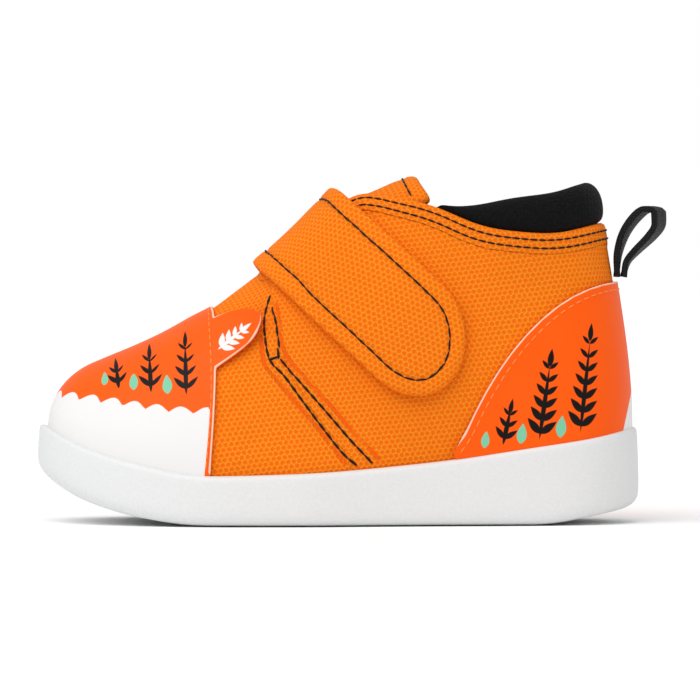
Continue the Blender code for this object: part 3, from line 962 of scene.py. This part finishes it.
@dataclass(frozen=True)
class Stitch:
    """One stitch of a row, in millimetres.

    Attributes:
        length: Length of thread that shows.
        gap: Distance between stitches; below zero their ends go into the same hole.
        width: Width of the thread.
        dip: How far its ends go down into the cloth.
        crown: How high its middle lies above the cloth, as a share of its width.
        hold: Share of its length, on each side of its middle, that sets its direction.
    """

    length: float = 3.2
    gap: float = -0.3
    width: float = 0.52
    dip: float = 0.1
    crown: float = 0.15
    hold: float = 0.4

    def form(self) -> tuple[Points, list[tuple[int, ...]]]:
        """Model the stitch once, along X with its crown up.

        Returns:
            Its points in metres and its faces.
        """
        bpy.ops.object.select_all(action="DESELECT")
        bpy.ops.mesh.primitive_uv_sphere_add(segments=8, ring_count=6, radius=0.5,
                                             rotation=(0.0, math.pi / 2, 0.0))
        ball = bpy.context.object
        points = np.array([ball.matrix_world @ v.co for v in ball.data.vertices])
        faces = [tuple(p.vertices) for p in ball.data.polygons]
        bpy.data.objects.remove(ball, do_unlink=True)
        ends = (2 * points[:, 0]) ** 2
        points = points * (self.length, self.width, self.width)
        points[:, 2] += self.width * self.crown - self.dip * ends
        return points * MM, faces

    def sew(self, name: str, rows: Sequence[tuple[Points, Points]], thread: Grain, slot: str) -> None:
        """Sew rows of stitches as one piece.

        Args:
            name: Name of the piece.
            rows: Places and directions out of the surface, for each row.
            thread: Thread of the rows.
            slot: Name of a material slot, passed on to dress.
        """
        form, faces = self.form()
        points, polygons = [], []
        for places, normals in rows:
            lengths = lengths_along(places)
            count = max(int(lengths[-1] / ((self.length + self.gap) * MM)), 1)
            for middle in (np.arange(count) + 0.5) * lengths[-1] / count:
                held = middle + np.array((-self.hold, 0.0, self.hold)) * self.length * MM
                spots = np.column_stack([np.interp(held, lengths, axis) for axis in places.T])
                up = unit(np.array([np.interp(middle, lengths, axis) for axis in normals.T]))
                along = unit(spots[2] - spots[0])
                wide = unit(np.cross(up, along))
                up = np.cross(along, wide)
                start = sum(len(p) for p in points)
                points.append(spots[1] + form @ np.array((along, wide, up)))
                polygons.extend(tuple(i + start for i in face) for face in faces)
        mesh = bpy.data.meshes.new(name)
        mesh.from_pydata(np.vstack(points).tolist(), [], polygons)
        mesh.shade_smooth()
        piece = bpy.data.objects.new(name, mesh)
        bpy.context.scene.collection.objects.link(piece)
        dress(piece, thread, slot)


def dress(piece: bpy.types.Object, finish: Finish, slot: str, *nodes: str) -> None:
    """Give a piece its finish, let it ride on the shoe and hide the CAD nodes that it replaces.

    Args:
        piece: The object.
        finish: Its finish.
        slot: Name of a material slot; not used.
        nodes: CAD nodes that it replaces.
    """
    piece.data.materials.append(finish.made())
    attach(piece, BODY)
    if nodes:
        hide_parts(*nodes)
    LOG.info("%s: %d faces, %s", piece.name, len(piece.data.polygons), finish.name)


EDGE_STITCH = Stitch()
BAND_STITCH = Stitch(length=2.2, gap=-0.05, width=0.5, dip=0.14)
HEAVY_STITCH = Stitch(length=3.0, gap=-0.35, width=0.62, dip=0.12)
FINE_STITCH = Stitch(length=1.9, gap=0.5, width=0.36, dip=0.16)


@dataclass
class Sole:
    """Cup sole and the sock that lies in it.

    Attributes:
        levels: Subdivision levels of both.
        lip: How sharp the sole's edges stay, from 0 to 1.
        hem: How sharp the sock's edges stay.
    """

    levels: int = 2
    lip: float = 0.6
    hem: float = 0.5

    def build(self) -> None:
        """Make the rubber sole and the sock."""
        rubber = Shell("outsole", "cup_sole", self.levels, crease=self.lip)
        dress(rubber.piece, RUBBER, "sole_rubber", "outsole")
        sock = Shell("insole", "sock", self.levels, crease=self.hem)
        dress(sock.piece, SOCK, "sock_cloth", "insole")


@dataclass(frozen=True)
class Crease:
    """A soft trough or ridge in the cloth, drawn in the side view, in millimetres.

    Attributes:
        line: Points as X and Z.
        depth: How far it sinks; below zero it stands proud.
        width: Distance over which it fades.
        span: Shares of its length past which it gets no shallower.
    """

    line: Line
    depth: float
    width: float
    span: tuple[float, float] = (0.04, 0.96)

    def depths(self, points: Points, surface: Surface, side: Side) -> Points:
        """Measure how far points sink.

        Args:
            points: Points of the creased piece.
            surface: Its surface.
            side: Side of the foot.

        Returns:
            Depths in millimetres.
        """
        line, _ = surface.from_side(smooth(self.line, COARSE_STEP), side)
        away, share = reach(points, line)
        return self.depth * trough(away / MM, self.width) * np.sin(math.pi * np.clip(share, *self.span))


@dataclass
class Upper:
    """Mesh cloth wall with its lining, seams, rolled topline and creases.

    Attributes:
        rim: How sharp the wall's edges stay, from 0 to 1.
        back_seam: Greatest Y and X of points at the back where the map is cut, in millimetres.
        middle: Share of a point's X, and height, of the line through the foot's room that the lining faces.
        topline_from: Height above which the wall's edge is the topline.
        band: Width of the rolled topline in millimetres.
        band_fade: Distance over which its edge rises.
        band_rise: How far it stands proud.
        press: How far the toe cap's rear edge presses it in at the ridge.
        rows: Distances of its stitch rows from the edge.
        front_row: Front stitch row of the quarter seam, X and Z in millimetres.
        rear_row: Rear stitch row of that seam.
        bar: Bar of thread across the seam's corner.
        lap: Front edge of the quarter, where it lies over the vamp; the cloth along it sinks and gets
            painted shade.
        shaded_fold: Soft fold behind the rear row; the cloth along it sinks and gets painted shade.
        creases: Creases of the worn-in cloth.
    """

    rim: float = 0.35
    back_seam: tuple[float, float] = (0.3, -50.0)
    middle: tuple[float, float] = (0.85, 28.0)
    topline_from: float = 60.0
    band: float = 4.8
    band_fade: float = 0.8
    band_rise: float = 0.35
    press: float = 0.3
    rows: tuple[float, ...] = (1.6, 3.6)
    front_row: Line = ((16.1, 54.5), (17.3, 49.7), (17.3, 45.4), (16.1, 39.4), (12.5, 35.3), (8.6, 30.0),
                       (3.6, 23.3), (-1.2, 17.3), (-4.6, 14.4))
    rear_row: Line = ((15.6, 51.8), (14.6, 47.8), (13.9, 42.7), (13.9, 40.1), (10.6, 36.0), (3.6, 28.1),
                      (-2.6, 20.9), (-8.2, 14.9))
    bar: Line = ((16.1, 39.4), (13.9, 40.1))
    lap: Line = ((18.2, 44.6), (18.0, 41.3), (17.4, 38.4), (16.0, 36.4), (11.5, 31.2), (7.3, 26.3),
                 (3.6, 21.9), (-0.1, 17.0), (-1.9, 14.6))
    shaded_fold: Line = ((14.7, 52.8), (13.6, 46.5), (12.6, 41.0), (8.6, 36.0), (0.6, 27.3), (-4.5, 21.5),
                  (-10.0, 15.6))
    creases: tuple[Crease, ...] = (
        Crease(((28.0, 24.0), (21.0, 31.0), (19.5, 38.0)), 0.45, 2.2),
        Crease(((24.0, 18.0), (13.0, 25.0)), 0.4, 2.4),
        Crease(((-24.0, 26.0), (-16.0, 33.0), (-12.0, 41.0)), 0.35, 3.0),
        Crease(((-30.0, 62.0), (-42.0, 57.0), (-52.0, 58.5)), 0.4, 3.2),
        Crease(((-34.0, 52.0), (-27.0, 44.0)), 0.3, 3.0),
    )

    def build(self) -> None:
        """Make the wall, shape it and sew it."""
        shell = Shell("upper", "upper_cloth", levels=2, crease=self.rim, cut=self.on_back_seam)
        edge = shell.panels[0][0]
        topline = edge.stretch(edge.points[:, 2] > self.topline_from * MM)
        points, surface = shell.points(), shell.surface()
        room = points * (self.middle[0], 0.0, 0.0) + UP * self.middle[1]
        outer = (np.sum(shell.normals() * (points - room), axis=1) > 0).astype(float)
        away = reach(points, topline.points)[0] / MM
        heights = self.band_rise * np.clip((self.band - away) / self.band_fade + 0.5, 0.0, 1.0)
        heights -= sum(crease.depths(points, surface, side) for side in Side for crease in self.creases)
        shell.keep(Field.BAND, np.clip(EDGE_REACH + self.band - away, 0.0, None) * outer)
        # Distance from the lap and the shaded fold; the cloth's material turns it into a trough with painted
        # shade
        seams = [surface.from_side(smooth(line, COARSE_STEP), side)[0]
                 for side in Side for line in (self.lap, self.shaded_fold)]
        away = np.min([reach(points, seam)[0] for seam in seams], axis=0) / MM
        shell.keep(Field.SEAM, np.clip(EDGE_REACH - away, 0.0, None) * outer)
        shell.move(heights * outer)
        shell.place(pressed(shell.points(), self.press))
        dress(shell.piece, MESH_CLOTH, "mesh_cloth", "upper")
        self.line(shell, outer)
        self.sew(shell, topline)

    def on_back_seam(self, points: Points) -> np.ndarray:
        """Return whether each point lies on the line at the back where the map is cut."""
        return (np.abs(points[:, 1]) < self.back_seam[0] * MM) & (points[:, 0] < self.back_seam[1] * MM)

    @staticmethod
    def line(shell: Shell, outer: Points) -> None:
        """Give the inner wall its lining.

        Args:
            shell: The wall.
            outer: 1 for each point of the outer wall.
        """
        shell.piece.data.materials.append(LINING.made())
        for face in shell.piece.data.polygons:
            if not any(outer[i] for i in face.vertices):
                face.material_index = 1

    def sew(self, shell: Shell, topline: Edge) -> None:
        """Sew the topline and the quarter seams.

        Args:
            shell: The wall.
            topline: Its upper edge.
        """
        surface = shell.surface()
        rows = [surface.inside(topline, distance) for distance in self.rows]
        BAND_STITCH.sew("topline_stitches", rows, BLACK_THREAD, "mesh_cloth")
        rows = [surface.from_side(smooth(line, FINE_STEP), side)
                for side in Side for line in (self.front_row, self.rear_row, self.bar)]
        HEAVY_STITCH.sew("quarter_stitches", rows, BLACK_THREAD, "mesh_cloth")


@dataclass
class Tongue:
    """Mesh cloth tongue with a hemmed free end.

    Attributes:
        rim: How sharp its edges stay, from 0 to 1.
        end_from: Height in millimetres above which its edge is the free end.
        hem: Distance of the hem's stitch row from the end in millimetres.
        hem_edge: How far past that row the turned hem ends.
        hem_fade: Distance over which the hem and the row's trough fade.
        hem_rise: How far the hem stands proud.
        puff: How far its padding swells along the middle, in millimetres.
        puff_width: Half width of that swelling.
        puff_fade: Distance behind the hem over which it swells.
        curl: How far its free end curls up.
        curl_at: Distance from the end where it curls up most.
        curl_width: Distance over which the curl fades.
    """

    rim: float = 0.2
    end_from: float = 74.5
    hem: float = 3.4
    hem_edge: float = 0.6
    hem_fade: float = 0.8
    hem_rise: float = 0.3
    puff: float = 0.9
    puff_width: float = 8.5
    puff_fade: float = 8.0
    curl: float = 0.9
    curl_at: float = 4.0
    curl_width: float = 5.0

    def build(self) -> None:
        """Make the tongue and sew its hem."""
        shell = Shell("tongue", "tongue_cloth", levels=2, crease=self.rim)
        edge = shell.panels[0][0]
        end = edge.stretch(edge.points[:, 2] > self.end_from * MM)
        points = shell.points()
        away = reach(points, end.points)[0] / MM
        outer = np.clip(shell.normals()[:, 2] * OUTWARD, 0.0, 1.0)
        body = ramp(away - self.hem, 0.0, self.puff_fade) * trough(points[:, 1] / MM, self.puff_width)
        hem = np.clip((self.hem + self.hem_edge - away) / self.hem_fade + 0.5, 0.0, 1.0)
        hem -= trough(away - self.hem, self.hem_fade)
        shell.move(self.puff * body * outer + self.hem_rise * hem)
        curl = self.curl * trough(away - self.curl_at, self.curl_width)
        shell.place(shell.points() + np.outer(curl, UP))
        dress(shell.piece, MESH_CLOTH, "mesh_cloth", "tongue")
        row = shell.surface().inside(end, self.hem)
        EDGE_STITCH.sew("tongue_stitches", [row], BLACK_THREAD, "mesh_cloth")


@dataclass
class Strap:
    """Padded hook-and-loop strap with a turned edge.

    Attributes:
        rim: How sharp its edges stay, from 0 to 1.
        row: Distance of its stitch row from the edge in millimetres.
        swell: How far the turned edge swells.
        sink: How far the stitch row pulls in.
        sink_width: Distance over which that fades.
        slack: How far the rear edge lies down at the ridge.
        slack_at: X where it lies down most.
        slack_size: Distances along X and Y over which that fades.
    """

    rim: float = 0.15
    row: float = 4.0
    swell: float = 0.2
    sink: float = 0.25
    sink_width: float = 0.6
    slack: float = 1.1
    slack_at: float = 2.6
    slack_size: tuple[float, float] = (3.5, 14.0)

    def laid(self, points: Points) -> Points:
        """Return points with those of the rear edge lowered at the ridge."""
        x, y, _ = points.T / MM
        fade = trough(x - self.slack_at, self.slack_size[0]) * trough(y, self.slack_size[1])
        return points - np.outer(self.slack * fade, UP)

    def build(self) -> None:
        """Make the strap and sew its edge."""
        shell = Shell("strap", "instep_strap", levels=3, crease=self.rim)
        edge = shell.panels[0][0]
        points = shell.points()
        away = reach(points, edge.points)[0] / MM
        centre = points.mean(axis=0) * (1.0, 0.0, 1.0)
        outer = np.clip(np.sum(shell.normals() * unit(points - centre), axis=1) * OUTWARD - 1, 0.0, 1.0)
        roll = np.clip(1 - (2 * away / self.row - 1) ** 4, 0.0, 1.0)
        shell.move(outer * (self.swell * roll - self.sink * trough(away - self.row, self.sink_width)))
        shell.place(self.laid(shell.points()))
        dress(shell.piece, MESH_CLOTH, "mesh_cloth", "strap")
        row = shell.surface().inside(Edge(self.laid(edge.points), edge.normals), self.row)
        EDGE_STITCH.sew("strap_stitches", [row], BLACK_THREAD, "mesh_cloth")


@dataclass
class Collar:
    """Padded knit collar round the ankle.

    Attributes:
        rim: How sharp its edges stay, from 0 to 1.
    """

    rim: float = 0.0

    def build(self) -> None:
        """Make the pad."""
        shell = Shell("collar", "collar_pad", levels=2, crease=self.rim)
        dress(shell.piece, COLLAR_KNIT, "knit_cloth", "collar")


@dataclass(frozen=True)
class Blade:
    """A printed stroke that tapers to both ends, drawn in the side view, in millimetres.

    Attributes:
        line: Points as X and Z, from its foot to its tip.
        width: Its greatest width.
        point: How much thinner it is all along, so that its ends run out in a point.
        belly: Power of its length's share that moves its widest place; below 1 it is nearer the foot.
    """

    line: Line
    width: float
    point: float = 0.12
    belly: float = 0.75

    def distance(self, points: Points, surface: Surface, side: Side) -> Points:
        """Measure how far points are outside the stroke.

        Args:
            points: Points of the printed piece.
            surface: Its surface.
            side: Side of the foot.

        Returns:
            Distances in millimetres, below zero inside.
        """
        line, _ = surface.from_side(smooth(self.line, FINE_STEP), side)
        away, share = reach(points, line)
        return away / MM + self.point - self.width / 2 * np.sin(math.pi * share ** self.belly)


@dataclass(frozen=True)
class Sprig:
    """A printed sprig, a thin stem with pairs of leaves, drawn in the side view, in millimetres.

    Attributes:
        foot: X and Z of its foot.
        tip: X and Z of the stem's tip.
        pairs: Number of pairs of leaves.
        leaf: Length of a leaf at the foot; those above get shorter.
        width: Greatest width of that leaf.
        spread: Angle of the leaves from the stem in degrees.
        stem: Width of the stem.
        bare: Length of the stem below the first pair and above the last, in distances between pairs.
        taper: Share of its size that a leaf at the tip has lost.
        bud: Foot of the leaf at the tip, as a distance below the tip.
        bud_width: Width of that leaf, as a share of a leaf's.
    """

    foot: tuple[float, float]
    tip: tuple[float, float]
    pairs: int
    leaf: float = 4.8
    width: float = 1.7
    spread: float = 46.0
    stem: float = 1.4
    bare: tuple[float, float] = (0.6, 0.8)
    taper: float = 0.5
    bud: float = 2.0
    bud_width: float = 0.8

    def strokes(self) -> list[Blade]:
        """Return the strokes of the stem and its leaves."""
        foot, tip = np.array(self.foot), np.array(self.tip)
        run = unit(tip - foot)
        across = np.array((-run[1], run[0]))
        turn = math.radians(self.spread)
        bud = (tip - run * self.bud, tip + run * self.leaf / 2)
        strokes = [Blade((foot, tip), self.stem), Blade(bud, self.width * self.bud_width)]
        for pair in range(self.pairs):
            share = (pair + self.bare[0]) / (self.pairs - 1 + sum(self.bare))
            root = foot + (tip - foot) * share
            less = 1 - self.taper * share
            for side in Side:
                way = run * math.cos(turn) + across * side.value * math.sin(turn)
                strokes.append(Blade((root, root + way * self.leaf * less), self.width * less))
        return strokes


def printed(points: Points, surface: Surface, strokes: Sequence[Blade]) -> Points:
    """Measure how far points are outside a set of strokes that is printed on both sides of the foot.

    Args:
        points: Points of the printed piece.
        surface: Its surface.
        strokes: The strokes.

    Returns:
        Distances in millimetres, below zero inside.
    """
    return np.min([stroke.distance(points, surface, side) for stroke in strokes for side in Side], axis=0)


@dataclass
class ToeCap:
    """Printed vinyl cap over the toe, with its tabs.

    Attributes:
        sprigs: Black sprigs of the print.
        leaves: Green leaves between them.
        inset: White sprig on the tab.
        toe: X and Y of the point that the white toe's border runs round, in millimetres.
        border: Height of that border at the sides.
        border_rise: How much higher it runs at the toe.
        border_bow: Power that keeps the rise near the toe.
        scallop: Height of the border's scallops.
        scallops: Number of scallops in half a turn.
        rim: How sharp the cut edges stay, from 0 to 1.
        rear: X of the rear edge at the sole and at the ridge.
        rear_reach: How far ahead of that the cut edge still counts as the rear edge.
        bow: How far the rear edge bows back between them.
        foot: Height of the rear edge's lower end.
        corner: Height of the lower corner that is tucked in with the lower edge.
        ridge: Height of the rear edge's upper end.
        seam: Distance of the stitch row from the rear edge.
        margin: Distance of the white toe from the stitch row.
        tab: How far behind the rear edge the tab starts.
        tab_top: Heights of the tab's top where the raw edge has run out and where it is whole.
        raw: Width of the raw edge that shows.
        hidden: Distance that the raw edge's colour keeps off where it doesn't show.
        tip: X behind which the tab's tip is rounded off.
        blunt: How much it is rounded off, as a share for each millimetre past that.
        press: How far its rear edge is pressed down at the ridge.
        tuck: How far the lower edge goes down behind the sole's lip.
    """

    sprigs: tuple[Sprig, ...] = (
        Sprig((35.8, 30.6), (36.4, 44.0), 4),
        Sprig((44.2, 31.2), (45.0, 41.0), 3),
        Sprig((52.0, 32.2), (53.0, 37.8), 2, leaf=4.2),
    )
    leaves: tuple[Blade, ...] = (
        Blade(((40.2, 31.2), (40.7, 36.0)), 2.6),
        Blade(((48.3, 32.0), (48.8, 36.4)), 2.4),
        Blade(((55.4, 33.0), (55.8, 36.4)), 2.0),
    )
    inset: Sprig = Sprig((28.6, 41.6), (21.8, 47.0), 4, leaf=3.8, width=1.9)
    toe: tuple[float, float] = (34.0, -3.0)
    border: float = 26.6
    border_rise: float = 3.4
    border_bow: float = 1.5
    scallop: float = 1.6
    scallops: int = 14
    rim: float = 0.6
    rear: float = 29.9
    rear_reach: float = 0.8
    bow: float = 1.3
    foot: float = 12.5
    corner: float = 2.0
    ridge: float = 53.0
    seam: float = 1.3
    margin: float = 0.2
    tab: float = 0.9
    tab_top: tuple[float, float] = (50.8, 48.8)
    raw: float = 0.4
    hidden: float = 0.1
    tip: float = 20.6
    blunt: float = 0.1
    press: float = 1.0
    tuck: float = 1.8

    def shaped(self, points: Points) -> Points:
        """Return points with the tab's tip drawn forward, to end round, and the ridge pressed down."""
        past = np.clip(self.tip - points[:, 0] / MM, 0.0, None)
        return pressed(points + np.outer(self.blunt * past ** 2, (MM, 0.0, 0.0)), self.press)

    def row(self, heights: Points) -> Points:
        """Return X of the stitch row at the given heights, in millimetres."""
        return self.rear + self.seam - self.bow * np.sin(math.pi * ramp(heights, self.foot, self.ridge))

    def white_toe(self, points: Points) -> Points:
        """Measure how far points are outside the white toe.

        Args:
            points: Points of the cap.

        Returns:
            Distances in millimetres, below zero inside.
        """
        x, y, z = points.T / MM
        turn = np.arctan2(y - self.toe[1], x - self.toe[0])
        rise = self.border_rise * np.clip(np.cos(turn), 0.0, 1.0) ** self.border_bow
        border = self.border + rise + self.scallop * np.abs(np.sin(self.scallops * turn))
        return np.maximum(z - border, self.row(z) + self.margin - x)

    def raw_edge(self, points: Points, cut: Edge) -> Points:
        """Measure how far points are outside the raw edge.

        Args:
            points: Points of the cap.
            cut: Its cut edge behind.

        Returns:
            Distances in millimetres, below zero inside.
        """
        x, _, z = points.T / MM
        shows = np.where(x < self.rear - self.tab, ramp(z, *self.tab_top), 1.0)
        away = reach(points, self.shaped(cut.points))[0] / MM
        return away + self.hidden - (self.hidden + self.raw) * shows

    def build(self) -> None:
        """Make the cap, lay its print and sew it."""
        shell = Shell("toe_cap", "toe_cap_vinyl", levels=3, crease=self.rim)
        edge = shell.panels[0][0]
        free = edge.points[:, 0] < (self.rear + self.rear_reach) * MM
        low = edge.points[:, 2] < (self.foot + self.corner) * MM
        shell.tuck(edge.stretch(~free | low), self.tuck)
        shell.place(self.shaped(shell.points()))
        surface = shell.surface()
        black = [stroke for sprig in self.sprigs for stroke in sprig.strokes()]
        white = self.inset.strokes()
        shell.refine(black + white)
        points = shell.points()
        shell.keep(Field.WHITE, np.minimum(self.white_toe(points), printed(points, surface, white)))
        shell.keep(Field.BLACK, printed(points, surface, black))
        shell.keep(Field.MINT, printed(points, surface, self.leaves))
        shell.keep(Field.RAW, self.raw_edge(points, edge.stretch(free)))
        dress(shell.piece, VINYL, "vinyl", "toe_cap")
        heights = np.arange(self.foot + COARSE_STEP, self.ridge + FINE_STEP, FINE_STEP)
        rows = [surface.from_side(np.column_stack((self.row(heights), heights)), side) for side in Side]
        FINE_STITCH.sew("toe_cap_stitches", rows, ORANGE_THREAD, "vinyl")


@dataclass
class HeelCounter:
    """Printed vinyl counter round the heel.

    Attributes:
        sprigs: Black sprigs of the print.
        leaves: Green leaves between them.
        patch: Half width and height of the white half round at the back, in millimetres.
        patch_front: X that the half round stays behind.
        rim: How sharp the cut edges stay, from 0 to 1.
        lip: X and height of a point on the sole's lip, which rises toward the back.
        lip_slope: How much it rises for each millimetre.
        lip_cover: How far above that line the cut edge is free.
        raw: Width of the raw edge.
        row: Distance of the stitch row from the top edge in millimetres.
        tuck: How far the lower edge goes down behind the sole's lip.
    """

    sprigs: tuple[Sprig, ...] = (
        Sprig((-39.0, 19.0), (-41.0, 28.4), 3, leaf=4.4),
        Sprig((-47.6, 20.0), (-50.4, 39.6), 6, leaf=5.4, width=2.2),
        Sprig((-57.4, 21.6), (-60.0, 45.6), 7, leaf=5.4, width=2.2),
    )
    leaves: tuple[Blade, ...] = (
        Blade(((-34.6, 18.4), (-35.2, 22.8)), 2.2),
        Blade(((-43.2, 19.4), (-43.9, 24.6)), 2.6),
        Blade(((-52.6, 20.8), (-53.2, 26.4)), 2.8),
    )
    patch: tuple[float, float] = (14.0, 31.5)
    patch_front: float = -50.0
    rim: float = 0.6
    lip: tuple[float, float] = (-27.0, 15.9)
    lip_slope: float = 0.165
    lip_cover: float = 2.2
    raw: float = 0.35
    row: float = 1.8
    tuck: float = 1.0

    def build(self) -> None:
        """Make the counter, lay its print and sew it."""
        shell = Shell("heel_counter", "heel_counter_vinyl", levels=3, crease=self.rim)
        edge = shell.panels[0][0]
        x, _, z = edge.points.T / MM
        free = z > self.lip[1] + (self.lip[0] - x) * self.lip_slope + self.lip_cover
        cut = edge.stretch(free)
        shell.tuck(edge.stretch(~free), self.tuck)
        surface = shell.surface()
        black = [stroke for sprig in self.sprigs for stroke in sprig.strokes()]
        shell.refine(black)
        points = shell.points()
        x, y, z = points.T / MM
        away = reach(points, cut.points)[0] / MM
        round_patch = (np.hypot(y / self.patch[0], z / self.patch[1]) - 1) * self.patch[0]
        shell.keep(Field.WHITE, np.maximum(round_patch, x - self.patch_front))
        shell.keep(Field.BLACK, printed(points, surface, black))
        shell.keep(Field.MINT, printed(points, surface, self.leaves))
        shell.keep(Field.RAW, away - self.raw)
        dress(shell.piece, VINYL, "vinyl", "heel_counter")
        row = surface.inside(cut, self.row)
        FINE_STITCH.sew("heel_counter_stitches", [row], ORANGE_THREAD, "vinyl")


@dataclass
class PullLoop:
    """Webbing loop at the back of the heel.

    Attributes:
        rim: How sharp the tape's edges stay, from 0 to 1.
    """

    rim: float = 0.75

    def build(self) -> None:
        """Make the tape."""
        shell = Shell("pull_loop", "pull_tape", levels=2, crease=self.rim)
        dress(shell.piece, TAPE, "webbing", "pull_loop")


@dataclass
class Studio:
    """Floor, light and camera.

    Attributes:
        aim: Middle of the picture in millimetres.
        width: Width of the picture at the shoe in millimetres.
        distance: Distance of the camera in millimetres.
        elevation: Height of the view above the horizon in degrees.
        sensor: Width of the camera's sensor in millimetres.
        key_from: Direction that the key light comes from.
        key: Strength of the key light.
        key_spread: Width of the key light in degrees, which softens its shadows.
        surround: Light of the white surround.
        paper: Width of the floor's paper in millimetres.
        sight: How far the camera sees in millimetres.
    """

    aim: tuple[float, float, float] = (-2.88, 0.0, 41.28)
    width: float = 168.0
    distance: float = 1500.0
    elevation: float = 1.0
    sensor: float = 36.0
    key_from: tuple[float, float, float] = (0.30, 0.45, 0.84)
    key: float = 1.68
    key_spread: float = 60.0
    surround: float = 0.63
    paper: float = 12000.0
    sight: float = 20000.0

    def build(self) -> None:
        """Set up the studio."""
        self.floor()
        self.lights()
        self.camera()

    def floor(self) -> None:
        """Lay the paper."""
        bpy.ops.object.select_all(action="DESELECT")
        bpy.ops.mesh.primitive_plane_add(size=self.paper * MM)
        paper = bpy.context.object
        paper.name = "paper_floor"
        paper.data.materials.append(PAPER.made())

    def lights(self) -> None:
        """Hang a wide key light in a white surround that shows as pure white behind the floor."""
        light = bpy.data.lights.new("key", "SUN")
        light.energy = self.key
        light.angle = math.radians(self.key_spread)
        lamp = bpy.data.objects.new("key", light)
        lamp.rotation_euler = (-Vector(self.key_from)).to_track_quat("-Z", "Y").to_euler()
        bpy.context.scene.collection.objects.link(lamp)
        world = bpy.data.worlds.new("white_surround")
        world.use_nodes = True
        path = add(world.node_tree, "LightPath")
        strength = add(world.node_tree, "Math", {0: path.outputs["Is Camera Ray"], 1: 1 - self.surround,
                                                 2: self.surround}, operation="MULTIPLY_ADD")
        background = world.node_tree.nodes["Background"]
        background.inputs["Color"].default_value = (1.0, 1.0, 1.0, 1.0)
        world.node_tree.links.new(strength.outputs[0], background.inputs["Strength"])
        bpy.context.scene.world = world
        bpy.context.scene.view_settings.view_transform = "Standard"

    def camera(self) -> None:
        """Stand the camera at the outer side of the foot, with a long lens."""
        eye = bpy.data.cameras.new("camera")
        eye.sensor_width = self.sensor
        eye.lens = self.sensor * self.distance / self.width
        eye.clip_end = self.sight * MM
        camera = bpy.data.objects.new("camera", eye)
        tilt = math.radians(self.elevation)
        back = Vector((0.0, math.cos(tilt), math.sin(tilt)))
        camera.location = Vector(self.aim) * MM + back * self.distance * MM
        camera.rotation_euler = (-back).to_track_quat("-Z", "Y").to_euler()
        bpy.context.scene.collection.objects.link(camera)
        bpy.context.scene.camera = camera


def main() -> None:
    """Build the shoe's pieces in the order that they are put together, then the studio."""
    logging.basicConfig(level=logging.INFO, format="%(message)s")
    for part in (Sole, Upper, Tongue, Collar, ToeCap, HeelCounter, Strap, PullLoop, Studio):
        part().build()


if __name__ == "__main__":
    main()
